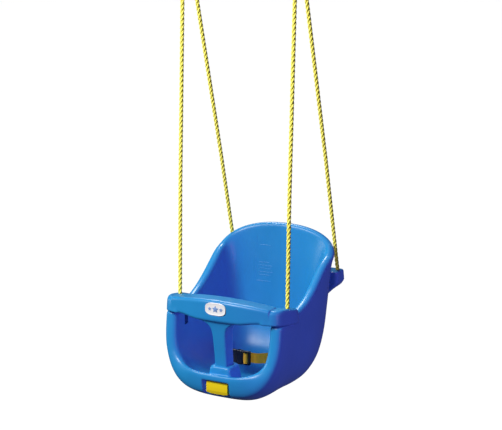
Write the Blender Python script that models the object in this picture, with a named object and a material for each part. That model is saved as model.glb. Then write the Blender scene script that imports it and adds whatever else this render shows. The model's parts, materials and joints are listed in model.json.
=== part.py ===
"""Toddler bucket swing: a moulded bucket seat on four ropes, with a T-bar guard that slides up the
front ropes, a latch that holds the T-bar's foot, a lap belt with a side-release buckle, and two rings.

Metres, +Z up, +X to the viewer's right, the seat's front faces -Y. The origin is midway between the
points where the two rings hang. The seat and all that swings with it is modelled in the seat frame,
whose origin is midway between the T-bar's two rope holes, and which hangs from the rings' lower bars.
"""
import bpy
import bmesh
from math import cos, sin, radians, pi
from mathutils import Matrix, Vector

# ---- driving dimensions -------------------------------------------------------------------------
HOLE_X = 0.170            # rope holes stand this far left and right of the middle
GAP = 0.0003              # between pieces that rest on each other

RING_WIRE_R = 0.004       # D-ring: round wire
RING_BAR_HALF = 0.026     # half of the ring's straight lower bar, between the corner arcs
RING_DROP = 0.050         # from the hanging point down to the lower bar's centre

BAR_Y = 0.038             # the ring's lower bar, in the seat frame
BAR_Z = 1.073
RECLINE = radians(-4.45)   # the seat leans back by this much where it hangs at rest

ROPE_R = 0.006
ROPE_HOLE_R = 0.0076
EYE_R = 0.0106            # centre line of the rope's eye around the ring's bar
EYE_SPACING = 0.0145      # the rear rope's eye sits beside the front rope's
TAIL_SPACING = 0.0128     # the rope's tail lies this far from its standing part, inside the ferrule
FERRULE_DROP = 0.062      # from the bar down to the middle of the ferrule
FERRULE_LENGTH = 0.030
STOP_R = 0.0095
STOP_LENGTH = 0.020

REAR_HOLE_Y = 0.334       # the rear lugs' rope holes
REAR_HOLE_Z = 0.034       # top of the rear lugs

WALL = 0.027              # wall thickness of the bucket
SIDE_RIM = 0.037          # thickness of the front rim at the sides
LIP_RIM = 0.070           # thickness of the front rim at the bottom, over the latch

CREST = 0.040             # how far the lip's crest is carried forward
PAD_Z = -0.0420           # the seats for the T-bar's ends, at their middle
BAR_END_BACK = 0.042      # rear of the T-bar's ends

FOOT_HALF_X = 0.0190      # the T-bar stem's foot
FOOT_FRONT = -0.0700
FOOT_BACK = -0.0270
FOOT_TOP = -0.1720
FOOT_BOTTOM = -0.222
SOCKET_CLEARANCE = 0.0008

NOTCH_HALF_X = 0.042      # notch in the lip for the latch
NOTCH_TOP = -0.2075
NOTCH_BACK = -0.0790
TOOTH_BOTTOM = -0.2180    # the latch's tooth bears on the foot's ledge just below this height
CATCH_TOP = -0.2035       # top of the foot's catch, which the tooth rises in as it leaves
LATCH_HALF_X = 0.0335
LATCH_PIN_Y = -0.0855
LATCH_PIN_Z = -0.2430
LATCH_PIN_R = 0.0020

BELT_Y = 0.060            # the belt's middle line across the seat
BELT_Z = -0.184
BUCKLE_X = -0.018         # the buckle's parting line
SOCKET_CASE = 0.016       # length of the socket's case, before its threaded frame
PLUG_BODY = 0.007         # length of the plug's body, before its threaded frame
BELT_RISE = -0.04         # how much each strap falls towards its wall, per metre of width
WEB_WIDTH = 0.030
WEB_THICK = 0.0018
ANCHOR_X = 0.121         # flat bosses on the inner walls, for the belt's screws
ANCHOR_Y = 0.190

# ---- materials ----------------------------------------------------------------------------------


def material(name, colour, roughness, metallic=0.0):
    made = bpy.data.materials.new(name)
    made.use_nodes = True
    shader = made.node_tree.nodes["Principled BSDF"]
    shader.inputs["Base Color"].default_value = (*colour, 1.0)
    shader.inputs["Roughness"].default_value = roughness
    shader.inputs["Metallic"].default_value = metallic
    return made


# ---- mesh helpers -------------------------------------------------------------------------------


def add_object(name, mesh, surface, parent=None):
    body = bpy.data.objects.new(name, mesh)
    bpy.context.scene.collection.objects.link(body)
    if surface is not None:
        mesh.materials.append(surface)
    body.parent = parent
    return body


def mesh_object(name, points, faces, surface, parent=None, smooth=True):
    mesh = bpy.data.meshes.new(name)
    mesh.from_pydata([tuple(p) for p in points], [], faces)
    edit = bmesh.new()
    edit.from_mesh(mesh)
    bmesh.ops.recalc_face_normals(edit, faces=edit.faces)
    edit.to_mesh(mesh)
    edit.free()
    if smooth:
        mesh.shade_smooth()
        mesh.set_sharp_from_angle(angle=radians(40))
    return add_object(name, mesh, surface, parent)


def loft(name, rings, surface, parent=None):
    """A closed solid through rings of equal length, capped at both ends."""
    count = len(rings[0])
    points = [p for ring in rings for p in ring]
    faces = []
    for level in range(len(rings) - 1):
        low = level * count
        for i in range(count):
            j = (i + 1) % count
            faces.append((low + i, low + j, low + count + j, low + count + i))
    faces.append(tuple(reversed(range(count))))
    last = (len(rings) - 1) * count
    faces.append(tuple(range(last, last + count)))
    return mesh_object(name, points, faces, surface, parent)


def box(name, low, high, surface=None, parent=None, bevel=0.0):
    edit = bmesh.new()
    bmesh.ops.create_cube(edit, size=1.0)
    size = Vector(high) - Vector(low)
    middle = (Vector(high) + Vector(low)) / 2
    bmesh.ops.scale(edit, vec=size, verts=edit.verts)
    bmesh.ops.translate(edit, vec=middle, verts=edit.verts)
    if bevel:
        bmesh.ops.bevel(edit, geom=list(edit.edges), offset=bevel, segments=2, affect="EDGES", profile=0.5)
    mesh = bpy.data.meshes.new(name)
    edit.to_mesh(mesh)
    edit.free()
    return add_object(name, mesh, surface, parent)


def turned(name, profile, start, direction, surface=None, parent=None, sides=20):
    """A solid of revolution: profile is (distance along the axis, radius), from one end to the other."""
    axis = Vector(direction).normalized()
    side = axis.orthogonal().normalized()
    other = axis.cross(side)
    rings = []
    for along, radius in profile:
        middle = Vector(start) + axis * along
        turn = [2 * pi * i / sides for i in range(sides)]
        rings.append([middle + (side * cos(a) + other * sin(a)) * radius for a in turn])
    return loft(name, rings, surface, parent)


def rod(name, start, end, radius, surface=None, parent=None, sides=20):
    span = Vector(end) - Vector(start)
    return turned(name, [(0.0, radius), (span.length, radius)], start, span, surface, parent, sides)


def tube(name, points, radius, surface, parent=None, resolution=2, cyclic=False):
    """A round bar or rope along points."""
    curve = bpy.data.curves.new(name, "CURVE")
    curve.dimensions = "3D"
    curve.bevel_depth = radius
    curve.bevel_resolution = resolution
    curve.use_fill_caps = not cyclic
    line = curve.splines.new("POLY")
    line.points.add(len(points) - 1)
    for knot, point in zip(line.points, points):
        knot.co = (*point, 1.0)
    line.use_cyclic_u = cyclic
    return add_object(name, curve, surface, parent)


def combine(target, tool, operation):
    """Apply a Boolean to target and throw the tool away."""
    modifier = target.modifiers.new("combine", "BOOLEAN")
    modifier.operation = operation
    modifier.object = tool
    modifier.solver = "EXACT"
    graph = bpy.context.evaluated_depsgraph_get()
    graph.update()
    result = bpy.data.meshes.new_from_object(target.evaluated_get(graph))
    target.modifiers.clear()
    old = target.data
    target.data = result
    result.name = target.name
    bpy.data.meshes.remove(old)
    bpy.data.objects.remove(tool)


def cut(target, *tools):
    for tool in tools:
        combine(target, tool, "DIFFERENCE")


def join(target, *tools):
    for tool in tools:
        combine(target, tool, "UNION")


def smooth_step(value):
    value = min(max(value, 0.0), 1.0)
    return value * value * (3 - 2 * value)


def through(knots, count):
    """count points on a smooth curve through the knots, evenly spread over the knots' chord length."""
    knots = [Vector(k) for k in knots]
    chord = [0.0]
    for a, b in zip(knots, knots[1:]):
        chord.append(chord[-1] + (b - a).length)
    slopes = []
    for i in range(len(knots)):
        before = max(i - 1, 0)
        after = min(i + 1, len(knots) - 1)
        slopes.append((knots[after] - knots[before]) / (chord[after] - chord[before]))
    found = []
    for k in range(count):
        at = chord[-1] * k / (count - 1)
        i = max(j for j in range(len(knots) - 1) if chord[j] <= at + 1e-12)
        span = chord[i + 1] - chord[i]
        t = (at - chord[i]) / span
        found.append((2 * t**3 - 3 * t**2 + 1) * knots[i] + (t**3 - 2 * t**2 + t) * span * slopes[i]
                     + (3 * t**2 - 2 * t**3) * knots[i + 1] + (t**3 - t**2) * span * slopes[i + 1])
    return found


# ---- rope lines, in the seat frame --------------------------------------------------------------


def rope_direction(front):
    """Unit vector up a rope, and the side of it on which the ring's bar lies, both in the YZ plane."""
    y, z = (0.0, 0.0) if front else (REAR_HOLE_Y, REAR_HOLE_Z)
    to_bar = Vector((0, BAR_Y - y, BAR_Z - z))
    lean = EYE_R / to_bar.length
    turn = -lean if front else lean
    up = Matrix.Rotation(-turn, 3, "X") @ to_bar.normalized()
    inward = Vector((0, up.z, -up.y)) if front else Vector((0, -up.z, up.y))
    return up, inward, to_bar.length


def eye_aside(front):
    """How far along the ring's bar a rope's eye sits: the front and the rear rope lie side by side."""
    return EYE_SPACING / 2 * (1 if front else -1)


def rope_start(side, front, below):
    """The point on a rope's line that lies 'below' under its hole's top."""
    up, _, _ = rope_direction(front)
    top = Vector((side * HOLE_X, 0, 0)) if front else Vector((side * HOLE_X, REAR_HOLE_Y, REAR_HOLE_Z))
    return top - up * below


def rope_points(side, front, below):
    """The rope's centre line: up from its stop, once around the ring's bar, and down into the ferrule."""
    up, inward, length = rope_direction(front)
    start = rope_start(side, front, below)
    aside = eye_aside(front)
    points = []
    straight = length + below
    steps = 30
    for i in range(steps):
        along = straight * i / steps
        drift = min(max((along - 0.36) / (straight - 0.10 - 0.36), 0.0), 1.0)
        points.append(start + up * along + Vector((aside * drift, 0, 0)))
    bar = start + up * straight + inward * EYE_R + Vector((aside, 0, 0))
    for i in range(11):
        a = pi * i / 10
        points.append(bar - inward * EYE_R * cos(a) + up * EYE_R * sin(a))
    tail_top = FERRULE_DROP - FERRULE_LENGTH / 2
    tail_end = FERRULE_DROP + FERRULE_LENGTH / 2 + 0.012
    near = TAIL_SPACING - EYE_R
    for along, off in ((0.010, EYE_R - 0.0008), (0.022, EYE_R - 0.0036), (0.035, near + 0.0016),
                       (tail_top, near), (FERRULE_DROP, near), (tail_end, near)):
        points.append(bar - up * along + inward * off)
    return points


# ---- the bucket ---------------------------------------------------------------------------------

# The wall's mid surface is a patch: v runs from the front rim, under the child, to the top of the back;
# u runs from the left rim to the right rim. Each row is a rounded U between the side rim and the middle.
MIDDLE_LINE = [(-0.072, -0.2205), (-0.030, -0.243), (0.040, -0.257), (0.120, -0.263), (0.195, -0.257),
               (0.254, -0.228), (0.288, -0.168), (0.301, -0.085), (0.312, 0.010), (0.321, 0.090),
               (0.325, 0.145)]
SIDE_LINE = [(0.1640, -0.047, -0.048), (0.1655, -0.010, -0.044), (0.1680, 0.030, -0.040),
             (0.1695, 0.062, -0.033), (0.1710, 0.092, -0.023), (0.1720, 0.120, -0.010),
             (0.1725, 0.150, 0.008), (0.1725, 0.178, 0.028), (0.1725, 0.203, 0.047),
             (0.1730, 0.226, 0.063), (0.1735, 0.246, 0.074)]


def section_point(u, v_row, rows):
    """A point of the mid surface: the row's U shape squares off at the front and rounds at the back."""
    middle = MIDDLE_ROWS[v_row]
    rim = SIDE_ROWS[v_row]
    v = v_row / (rows - 1)
    square_y = 3.1 + 0.4 * smooth_step(v / 0.7) - 0.6 * smooth_step((v - 0.7) / 0.3)
    square_z = 3.3 + 0.7 * smooth_step(v / 0.4) - 1.9 * smooth_step((v - 0.5) / 0.5)
    turn = u * pi / 2
    across = abs(sin(turn)) ** (2 / square_y)
    depth_y = (max(1 - across**square_y, 0.0)) ** (1 / square_y)
    depth_z = (max(1 - across**square_z, 0.0)) ** (1 / square_z)
    x = rim.x * across * (1 if u >= 0 else -1)
    y = rim.y + (middle.x - rim.y) * depth_y
    z = rim.z + (middle.y - rim.z) * depth_z
    return Vector((x, y, z))


def wall_thickness(u, v):
    """Thick at the front rim, most of all at its lowest point, and even everywhere else."""
    lip = smooth_step((0.75 - abs(u)) / 0.60)
    front = SIDE_RIM + (LIP_RIM - SIDE_RIM) * lip
    reach = 0.23 + 0.13 * abs(u) ** 4
    return WALL + (front - WALL) * (1 - smooth_step(v / reach))


def crest_shift(u, v):
    """The inner skin is carried forward along the lip, so that its crest stands over its front face."""
    return Vector((0, -CREST * smooth_step((0.75 - abs(u)) / 0.60) * (1 - smooth_step(v / 0.13)), 0))


ROWS = 25
COLUMNS = 37
MIDDLE_ROWS = [Vector((p.x, p.y)) for p in through([(*k, 0) for k in MIDDLE_LINE], ROWS)]
SIDE_ROWS = through(SIDE_LINE, ROWS)


def bucket_shell(surface, parent):
    """The bucket's wall: outer and inner skins from the mid surface, joined by a rounded rim."""
    grid = [[section_point(-1 + 2 * i / (COLUMNS - 1), j, ROWS) for i in range(COLUMNS)] for j in range(ROWS)]

    def slope(line, k):
        return line[min(k + 1, len(line) - 1)] - line[max(k - 1, 0)]

    points = []
    index = {}
    normals = {}
    for j in range(ROWS):
        for i in range(COLUMNS):
            across = slope(grid[j], i)
            along = slope([row[i] for row in grid], j)
            normals[i, j] = along.cross(across).normalized()
    # where the side rim runs on into the back's rim, both grid lines are nearly parallel
    for side_column, inner_column in ((0, 2), (COLUMNS - 1, COLUMNS - 3)):
        steady = normals[inner_column, ROWS - 3]
        for step in range(2):
            normals[side_column, ROWS - 1 - step] = steady
            normals[(side_column + inner_column) // 2, ROWS - 1 - step] = steady
    for (i, j), normal in normals.items():
        u, v = -1 + 2 * i / (COLUMNS - 1), j / (ROWS - 1)
        half = wall_thickness(u, v) / 2
        for skin, sign in (("out", 1), ("in", -1)):
            index[skin, i, j] = len(points)
            points.append(grid[j][i] + normal * half * sign + crest_shift(u, v) * (1 - sign) / 2)
    faces = []
    for j in range(ROWS - 1):
        for i in range(COLUMNS - 1):
            for skin in ("out", "in"):
                faces.append(tuple(index[skin, a, b] for a, b in ((i, j), (i + 1, j), (i + 1, j + 1), (i, j + 1))))
    edge = [(i, 0) for i in range(COLUMNS)]
    edge += [(COLUMNS - 1, j) for j in range(1, ROWS)]
    edge += [(i, ROWS - 1) for i in range(COLUMNS - 2, -1, -1)]
    edge += [(0, j) for j in range(ROWS - 2, 0, -1)]
    steps = 5
    rings = []
    count = len(edge)
    for k, (i, j) in enumerate(edge):
        before = edge[k - 1]
        after = edge[(k + 1) % count]
        along = (grid[after[1]][after[0]] - grid[before[1]][before[0]]).normalized()
        outward = normals[i, j].cross(along).normalized()
        u, v = -1 + 2 * i / (COLUMNS - 1), j / (ROWS - 1)
        half = wall_thickness(u, v) / 2
        nose = min(half, 0.019 - 0.35 * max(half - 0.019, 0))
        ring = [index["out", i, j]]
        for s in range(1, steps):
            a = pi * s / steps
            flat = abs(cos(a)) ** 0.8 * (1 if cos(a) >= 0 else -1)
            ring.append(len(points))
            points.append(grid[j][i] + normals[i, j] * half * flat + outward * nose * sin(a) ** 0.8
                          + crest_shift(u, v) * (1 - flat) / 2)
        ring.append(index["in", i, j])
        rings.append(ring)
    for k in range(count):
        a = rings[k]
        b = rings[(k + 1) % count]
        for s in range(steps):
            faces.append((a[s], a[s + 1], b[s + 1], b[s]))
    return mesh_object("seat_bucket", points, faces, surface, parent)


def rounded_outline(half_x, half_y, corner, steps=3):
    """A rectangle with round corners about the origin."""
    outline = []
    for quarter, (sx, sy) in enumerate(((1, 1), (-1, 1), (-1, -1), (1, -1))):
        for k in range(steps + 1):
            a = pi / 2 * (quarter + k / steps)
            outline.append((sx * (half_x - corner) + corner * cos(a), sy * (half_y - corner) + corner * sin(a)))
    return outline


def rear_lug(side, parent):
    """A block around the rear rope's hole that fades into the wall below it."""
    up, _, _ = rope_direction(False)
    rings = []
    # height under the lug's top, reach outwards and rearwards from the hole, reach inwards and forwards, corner
    for below, out_x, out_y, in_x, in_y, corner in ((0.000, 0.0140, 0.0130, 0.0330, 0.0390, 0.009),
                                                    (0.003, 0.0160, 0.0160, 0.0340, 0.0400, 0.010),
                                                    (0.034, 0.0155, 0.0150, 0.0400, 0.0460, 0.010),
                                                    (0.046, 0.0100, 0.0045, 0.0420, 0.0480, 0.009),
                                                    (0.062, -0.0090, -0.0180, 0.0440, 0.0520, 0.006),
                                                    (0.078, -0.0230, -0.0330, 0.0460, 0.0550, 0.004),
                                                    (0.096, -0.0370, -0.0520, 0.0490, 0.0610, 0.003)):
        middle = Vector((side * HOLE_X, REAR_HOLE_Y, REAR_HOLE_Z)) - up * below
        middle += Vector((side * (out_x - in_x) / 2, (out_y - in_y) / 2, 0))
        outline = rounded_outline((out_x + in_x) / 2, (out_y + in_y) / 2, corner)
        rings.append([middle + Vector((x, y, 0)) for x, y in outline])
    return loft("lug", rings, None, parent)


def rope_pocket(side, front, parent):
    """Cutters for a rope: its hole, and below it an open-sided pocket for its stop."""
    up, _, _ = rope_direction(front)
    top = rope_start(side, front, -0.030)
    ceiling = 0.056 if front else 0.017
    depth = 0.032
    roof = rope_start(side, front, ceiling)
    hole = rod("hole", top, roof - up * 0.004, ROPE_HOLE_R, None, parent, 16)
    room = rod("room", roof, roof - up * depth, STOP_R + 0.0012, None, parent, 20)
    away = Vector((-side, 0, 0)) if front else Vector((0, 1, 0))
    across = Vector((0, 1, 0)) if front else Vector((1, 0, 0))
    half = across * (STOP_R + 0.0012)
    near = -0.001 * away
    far = 0.040 * away
    quads = []
    for middle in (roof, roof - up * depth):
        quads.append([middle + near - half, middle + far - half, middle + far + half, middle + near + half])
    mouth = loft("mouth", quads, None, parent)
    combine(room, mouth, "UNION")
    return hole, room


def pad_height(y):
    """The seats for the T-bar's ends fall towards the rear."""
    return PAD_Z - 0.123 * (y + 0.019)


def seat_bucket(surface, parent):
    seat = bucket_shell(surface, parent)
    # boss with the socket for the T-bar's foot
    rings = []
    for z, half_x, front, back in ((-0.245, 0.040, -0.079, -0.014), (-0.205, 0.0360, -0.079, -0.014),
                                   (-0.190, 0.0335, -0.079, -0.015), (FOOT_TOP - 0.007, 0.0315, -0.0785, -0.0175),
                                   (FOOT_TOP, 0.0275, -0.0745, -0.0215)):
        outline = rounded_outline(half_x, (back - front) / 2, 0.008)
        rings.append([Vector((x, (front + back) / 2 + y, z)) for x, y in outline])
    join(seat, loft("boss", rings, None, parent))
    for side in (-1, 1):
        join(seat, rear_lug(side, parent))
        anchor = turned("anchor", [(0, 0.0165), (0.002, 0.018), (0.030, 0.0195)],
                        (side * ANCHOR_X, ANCHOR_Y, belt_height(ANCHOR_X)), (side, 0, 0), None, parent, 20)
        join(seat, anchor)
    # flat seats for the T-bar's ends
    for side in (-1, 1):
        near, far = -0.120, BAR_END_BACK + 0.0015
        quads = [[Vector((side * x, near, pad_height(near))), Vector((side * x, far, pad_height(far))),
                  Vector((side * x, far, 0.030)), Vector((side * x, near, 0.030))] for x in (0.100, 0.230)]
        cut(seat, loft("pad", quads, None, parent))
    socket = foot_rings(SOCKET_CLEARANCE, FOOT_BOTTOM - 0.001, FOOT_TOP + 0.010)
    cut(seat, loft("socket", socket, None, parent))
    cut(seat, box("notch", (-NOTCH_HALF_X, -0.130, -0.300), (NOTCH_HALF_X, NOTCH_BACK, NOTCH_TOP), None, parent))
    cut(seat, box("window", (-0.0125, NOTCH_BACK - 0.001, TOOTH_BOTTOM - 0.0015), (0.0125, FOOT_FRONT + 0.002, CATCH_TOP),
                  None, parent))
    cut(seat, rod("pin_hole", (-0.049, LATCH_PIN_Y, LATCH_PIN_Z), (0.049, LATCH_PIN_Y, LATCH_PIN_Z),
                  LATCH_PIN_R + GAP, None, parent, 14))
    for side in (-1, 1):
        for front in (True, False):
            cut(seat, *rope_pocket(side, front, parent))
        start = Vector((side * (ANCHOR_X - 0.005), ANCHOR_Y, belt_height(ANCHOR_X)))
        cut(seat, rod("screw_hole", start, start + Vector((side * 0.018, 0, 0)), 0.0024, None, parent, 14))
    seat.data.shade_smooth()
    seat.data.set_sharp_from_angle(angle=radians(35))
    return seat


# ---- the T-bar ----------------------------------------------------------------------------------


def foot_rings(clearance, low, high):
    """The foot's outline at two heights, sheared along the direction in which the T-bar slides."""
    up, _, _ = rope_direction(True)
    rings = []
    for z in (low, high):
        middle_y = (FOOT_FRONT + FOOT_BACK) / 2 + up.y / up.z * (z - FOOT_TOP)
        outline = rounded_outline(FOOT_HALF_X + clearance, (FOOT_BACK - FOOT_FRONT) / 2 + clearance, 0.005)
        rings.append([Vector((x, middle_y + y, z)) for x, y in outline])
    return rings


def bar_section(x):
    """One slice of the bowed bar: (front, back, bottom, top) give its rounded outline."""
    bow = (x / 0.155) ** 2
    front = -0.0985 + 0.020 * bow
    back = -0.040 + 0.012 * bow
    top = 0.022 - 0.014 * bow
    bottom = PAD_Z + 0.0008
    middle = ((front + back) / 2, (top + bottom) / 2)
    end = smooth_step((abs(x) - 0.060) / 0.065)
    points = []
    for y, z in rounded_outline((back - front) / 2, (top - bottom) / 2, 0.010, 4):
        at_y, at_z = middle[0] + y, middle[1] + z
        lift = end * (pad_height(at_y) - PAD_Z) * (top - at_z) / (top - bottom)
        points.append(Vector((x, at_y, at_z + lift)))
    return points


def bar_end(side, parent):
    """The T-bar's end: a deep cap around the rope hole, wider at its foot and lower at its rear."""
    # outline in plan, from the front inner corner round to the rear inner corner
    plan = [(0.128, -0.0835), (0.148, -0.0808), (0.162, -0.0770), (0.1735, -0.0680), (0.1800, -0.0540),
            (0.1860, -0.0250), (0.1905, 0.0020), (0.1915, 0.0220), (0.1890, 0.0350), (0.1830, BAR_END_BACK),
            (0.1600, BAR_END_BACK), (0.1530, 0.038), (0.1500, 0.026), (0.1480, -0.005), (0.1400, -0.024),
            (0.1280, -0.029)]
    middle = Vector((0.161, -0.018))
    rings = []
    for height, inset in ((0.0, 0.0), (0.20, 0.0), (0.80, 0.0035), (0.94, 0.0065), (1.0, 0.0120)):
        ring = []
        for x, y in plan:
            reach = Vector((x, y)) - middle
            at = middle + reach * (1 - inset / 0.035)
            top = 0.0060 - 0.0130 * smooth_step((at.y + 0.050) / 0.090)
            foot = pad_height(at.y) + GAP
            ring.append(Vector((side * at.x, at.y, foot + (top - foot) * height)))
        rings.append(ring)
    return loft("bar_end", rings, None, parent)


def stem_rings():
    """The stem from the flare under the bar down to the top of its foot: z, half width, front, back."""
    levels = [(-0.030, 0.066, -0.090, -0.034), (-0.0415, 0.053, -0.0885, -0.0345), (-0.049, 0.037, -0.0870, -0.035),
              (-0.060, 0.0260, -0.0850, -0.0355), (-0.080, 0.0212, -0.0825, -0.0350),
              (-0.130, 0.0195, -0.0755, -0.0310), (FOOT_TOP + 0.0015, FOOT_HALF_X, FOOT_FRONT, FOOT_BACK)]
    rings = []
    for z, half_x, front, back in levels:
        outline = rounded_outline(half_x, (back - front) / 2, 0.005)
        rings.append([Vector((x, (front + back) / 2 + y, z)) for x, y in outline])
    low = foot_rings(0.0, FOOT_BOTTOM, FOOT_TOP + 0.001)
    rings += [low[1], low[0]]
    return rings


def t_bar(surface, parent):
    stations = 15
    slices = [bar_section(-0.152 + 0.304 * k / (stations - 1)) for k in range(stations)]
    bar = loft("t_bar", slices, surface, parent)
    join(bar, bar_end(-1, parent), bar_end(1, parent))
    join(bar, loft("stem", stem_rings(), None, parent))
    for side in (-1, 1):
        cut(bar, rod("hole", rope_start(side, True, 0.080), rope_start(side, True, -0.030), ROPE_HOLE_R,
                     None, parent, 16))
    cut(bar, badge_solid("recess", 0.0003, -0.0956, -0.110, None, parent))
    cut(bar, box("catch", (-0.0130, FOOT_FRONT - 0.004, TOOTH_BOTTOM - 0.0005), (0.0130, FOOT_FRONT + 0.0085, CATCH_TOP),
                 None, parent))
    bar.data.shade_smooth()
    bar.data.set_sharp_from_angle(angle=radians(35))
    return bar


def badge_solid(name, grow, back_y, front_y, surface, parent, rounding=0.0):
    """An oval plate on the bar's front."""
    rings = []
    levels = [(back_y, 0.0), (front_y, 0.0)]
    if rounding:
        levels = [(back_y, 0.0), (front_y + rounding, 0.0), (front_y, -rounding)]
    for y, inset in levels:
        turn = [2 * pi * k / 36 for k in range(36)]
        rings.append([Vector(((0.0335 + grow + inset) * cos(a), y, -0.002 + (0.0190 + grow + inset) * sin(a)))
                      for a in turn])
    return loft(name, rings, surface, parent)


# ---- the latch ----------------------------------------------------------------------------------


def latch(surface, parent):
    """A yellow plate hinged on its pin, with a tooth that reaches into the foot's catch."""
    profile = [(-0.0935, -0.2110), (-0.0945, -0.2200), (-0.0945, -0.2380), (-0.0915, -0.2475),
               (-0.0855, -0.2495), (-0.0805, -0.2470), (-0.0800, -0.2400), (-0.0865, -0.2330),
               (-0.0865, -0.2110)]
    rings = []
    for x in (-LATCH_HALF_X, LATCH_HALF_X):
        rings.append([Vector((x, y, z)) for y, z in profile])
    plate = loft("latch", rings, surface, parent)
    tooth = [(-0.0870, TOOTH_BOTTOM), (-0.0870, TOOTH_BOTTOM + 0.0062), (-0.0640, TOOTH_BOTTOM + 0.0062),
             (-0.0645, TOOTH_BOTTOM + 0.0020), (-0.0680, TOOTH_BOTTOM)]
    join(plate, loft("tooth", [[Vector((x, y, z)) for y, z in tooth] for x in (-0.0110, 0.0110)], None, parent))
    cut(plate, rod("hole", (-0.05, LATCH_PIN_Y, LATCH_PIN_Z), (0.05, LATCH_PIN_Y, LATCH_PIN_Z),
                   LATCH_PIN_R + GAP, None, parent, 14))
    # its lower corners follow the seat's round lip
    for side in (-1, 1):
        corner = [(side * 0.0350, -0.2520), (side * 0.0350, -0.2460), (side * 0.0100, -0.2498), (side * 0.0100, -0.2520)]
        cut(plate, loft("corner", [[Vector((x, y, z)) for x, z in corner] for y in (-0.1000, -0.0700)], None, parent))
    # room for the spring's coil around the pin
    cut(plate, box("spring_room", (-0.0260, -0.0902, -0.2600), (-0.0120, -0.0700, -0.2320), None, parent))
    return plate


def latch_spring(surface, parent):
    """A torsion spring around the pin: one leg up behind the plate, the other back to the notch's wall."""
    radius = LATCH_PIN_R + 0.0010
    turns = 4
    points = [Vector((-0.0235, -0.0832, -0.2250)), Vector((-0.0235, -0.0828, -0.2330))]
    steps = 10
    for k in range(turns * steps + 1):
        a = 2 * pi * k / steps
        x = -0.0235 + 0.0090 * k / (turns * steps)
        points.append(Vector((x, LATCH_PIN_Y + radius * cos(a), LATCH_PIN_Z - radius * sin(a))))
    points.append(Vector((-0.0145, -0.0818, -0.2370)))
    points.append(Vector((-0.0145, -0.0802, -0.2310)))
    return tube("latch_spring", points, 0.0005, surface, parent, 1)


# ---- the belt -----------------------------------------------------------------------------------


def belt_height(x):
    return BELT_Z + BELT_RISE * max(abs(x) - 0.030, 0.0)


def ribbon(name, path, side, surface, parent):
    """Webbing on edge: path is its line in plan for the right-hand side, mirrored for the left."""
    line = [Vector((p[0], p[1])) for p in path]
    left, right = [], []
    for k, point in enumerate(line):
        along = (line[min(k + 1, len(line) - 1)] - line[max(k - 1, 0)]).normalized()
        normal = Vector((-along.y, along.x)) * WEB_THICK / 2
        left.append(point + normal)
        right.append(point - normal)
    outline = left + right[::-1]
    rings = []
    for edge in (-WEB_WIDTH / 2, WEB_WIDTH / 2):
        rings.append([Vector((side * p.x, p.y, belt_height(p.x) + edge)) for p in outline])
    strip = mesh_object(name, rings[0] + rings[1], ribbon_faces(len(line)), surface, parent)
    at = Vector((side * ANCHOR_X, ANCHOR_Y, belt_height(ANCHOR_X)))
    reach = Vector((side * 0.010, 0, 0))
    cut(strip, rod("eyelet", at - reach, at + reach, 0.0027, None, parent, 14))
    return strip


def ribbon_faces(count):
    """Faces of a thin strip whose outline runs up one side and back down the other."""
    total = 2 * count
    faces = []
    for k in range(count - 1):
        j = total - 1 - k
        faces.append((k, k + 1, j - 1, j))
        faces.append((total + k, total + k + 1, total + j - 1, total + j))
    for k in range(total):
        j = (k + 1) % total
        faces.append((k, j, total + j, total + k))
    return faces


def strap_path(buckle):
    """From the screw on the wall, forward and across, and around the buckle's bars, in plan.

    buckle is where the threaded frame's inner edge stands.
    """
    flat = ANCHOR_X - WEB_THICK / 2 - GAP
    y = BELT_Y
    knots = [(flat, ANCHOR_Y - 0.0095), (flat - 0.0012, ANCHOR_Y - 0.018), (flat - 0.0060, ANCHOR_Y - 0.032),
             (flat - 0.018, ANCHOR_Y - 0.052), (flat - 0.038, ANCHOR_Y - 0.080), (flat - 0.060, y + 0.0270),
             (buckle + 0.044, y + 0.0120), (buckle + 0.031, y + 0.0086)]
    smooth = [(flat, ANCHOR_Y + 0.012)] + [(p.x, p.y) for p in through([(*k, 0) for k in knots], 24)]
    # off the middle, forward offset, as the webbing turns around the frame's bars
    wrap = [(0.0270, 0.0083), (0.0222, 0.0075), (0.0195, 0.0035), (0.0186, -0.0030), (0.0162, -0.0072),
            (0.0120, -0.0080), (0.0085, -0.0070), (0.0068, -0.0030), (0.0066, 0.0060), (0.0085, 0.0082),
            (0.0135, 0.0086)]
    return smooth + [(buckle + x, y + off) for x, off in wrap]


def plate(name, side, near, far, half_y, half_z, surface, parent, bevel=0.0):
    """A block of the buckle from near to far off the buckle's parting line, on one side of it."""
    low_x, high_x = sorted((BUCKLE_X + side * near, BUCKLE_X + side * far))
    return box(name, (low_x, BELT_Y - half_y, BELT_Z - half_z), (high_x, BELT_Y + half_y, BELT_Z + half_z),
               surface, parent, bevel)


def cut_slots(frame, side, start, parent):
    """Two slots that the webbing is threaded through."""
    for near, far in ((0.0045, 0.0088), (0.0162, 0.0226)):
        cut(frame, plate("slot", side, start + near, start + far, 0.020, 0.0162, None, parent))


def buckle_socket(surface, parent):
    """The right half: a hollow case that takes the plug's prongs, with windows for its release arms."""
    socket = plate("buckle_socket", 1, SOCKET_CASE - 0.001, SOCKET_CASE + 0.026, 0.0055, 0.0204, surface, parent, 0.0015)
    cut_slots(socket, 1, SOCKET_CASE, parent)
    join(socket, plate("case", 1, 0.0002, SOCKET_CASE + 0.002, 0.0070, 0.0210, None, parent, 0.0020))
    cut(socket, plate("room", 1, -0.0050, SOCKET_CASE - 0.0015, 0.0040, 0.0175, None, parent))
    cut(socket, plate("windows", 1, 0.0030, SOCKET_CASE - 0.0040, 0.0040, 0.0300, None, parent))
    return socket


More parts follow.
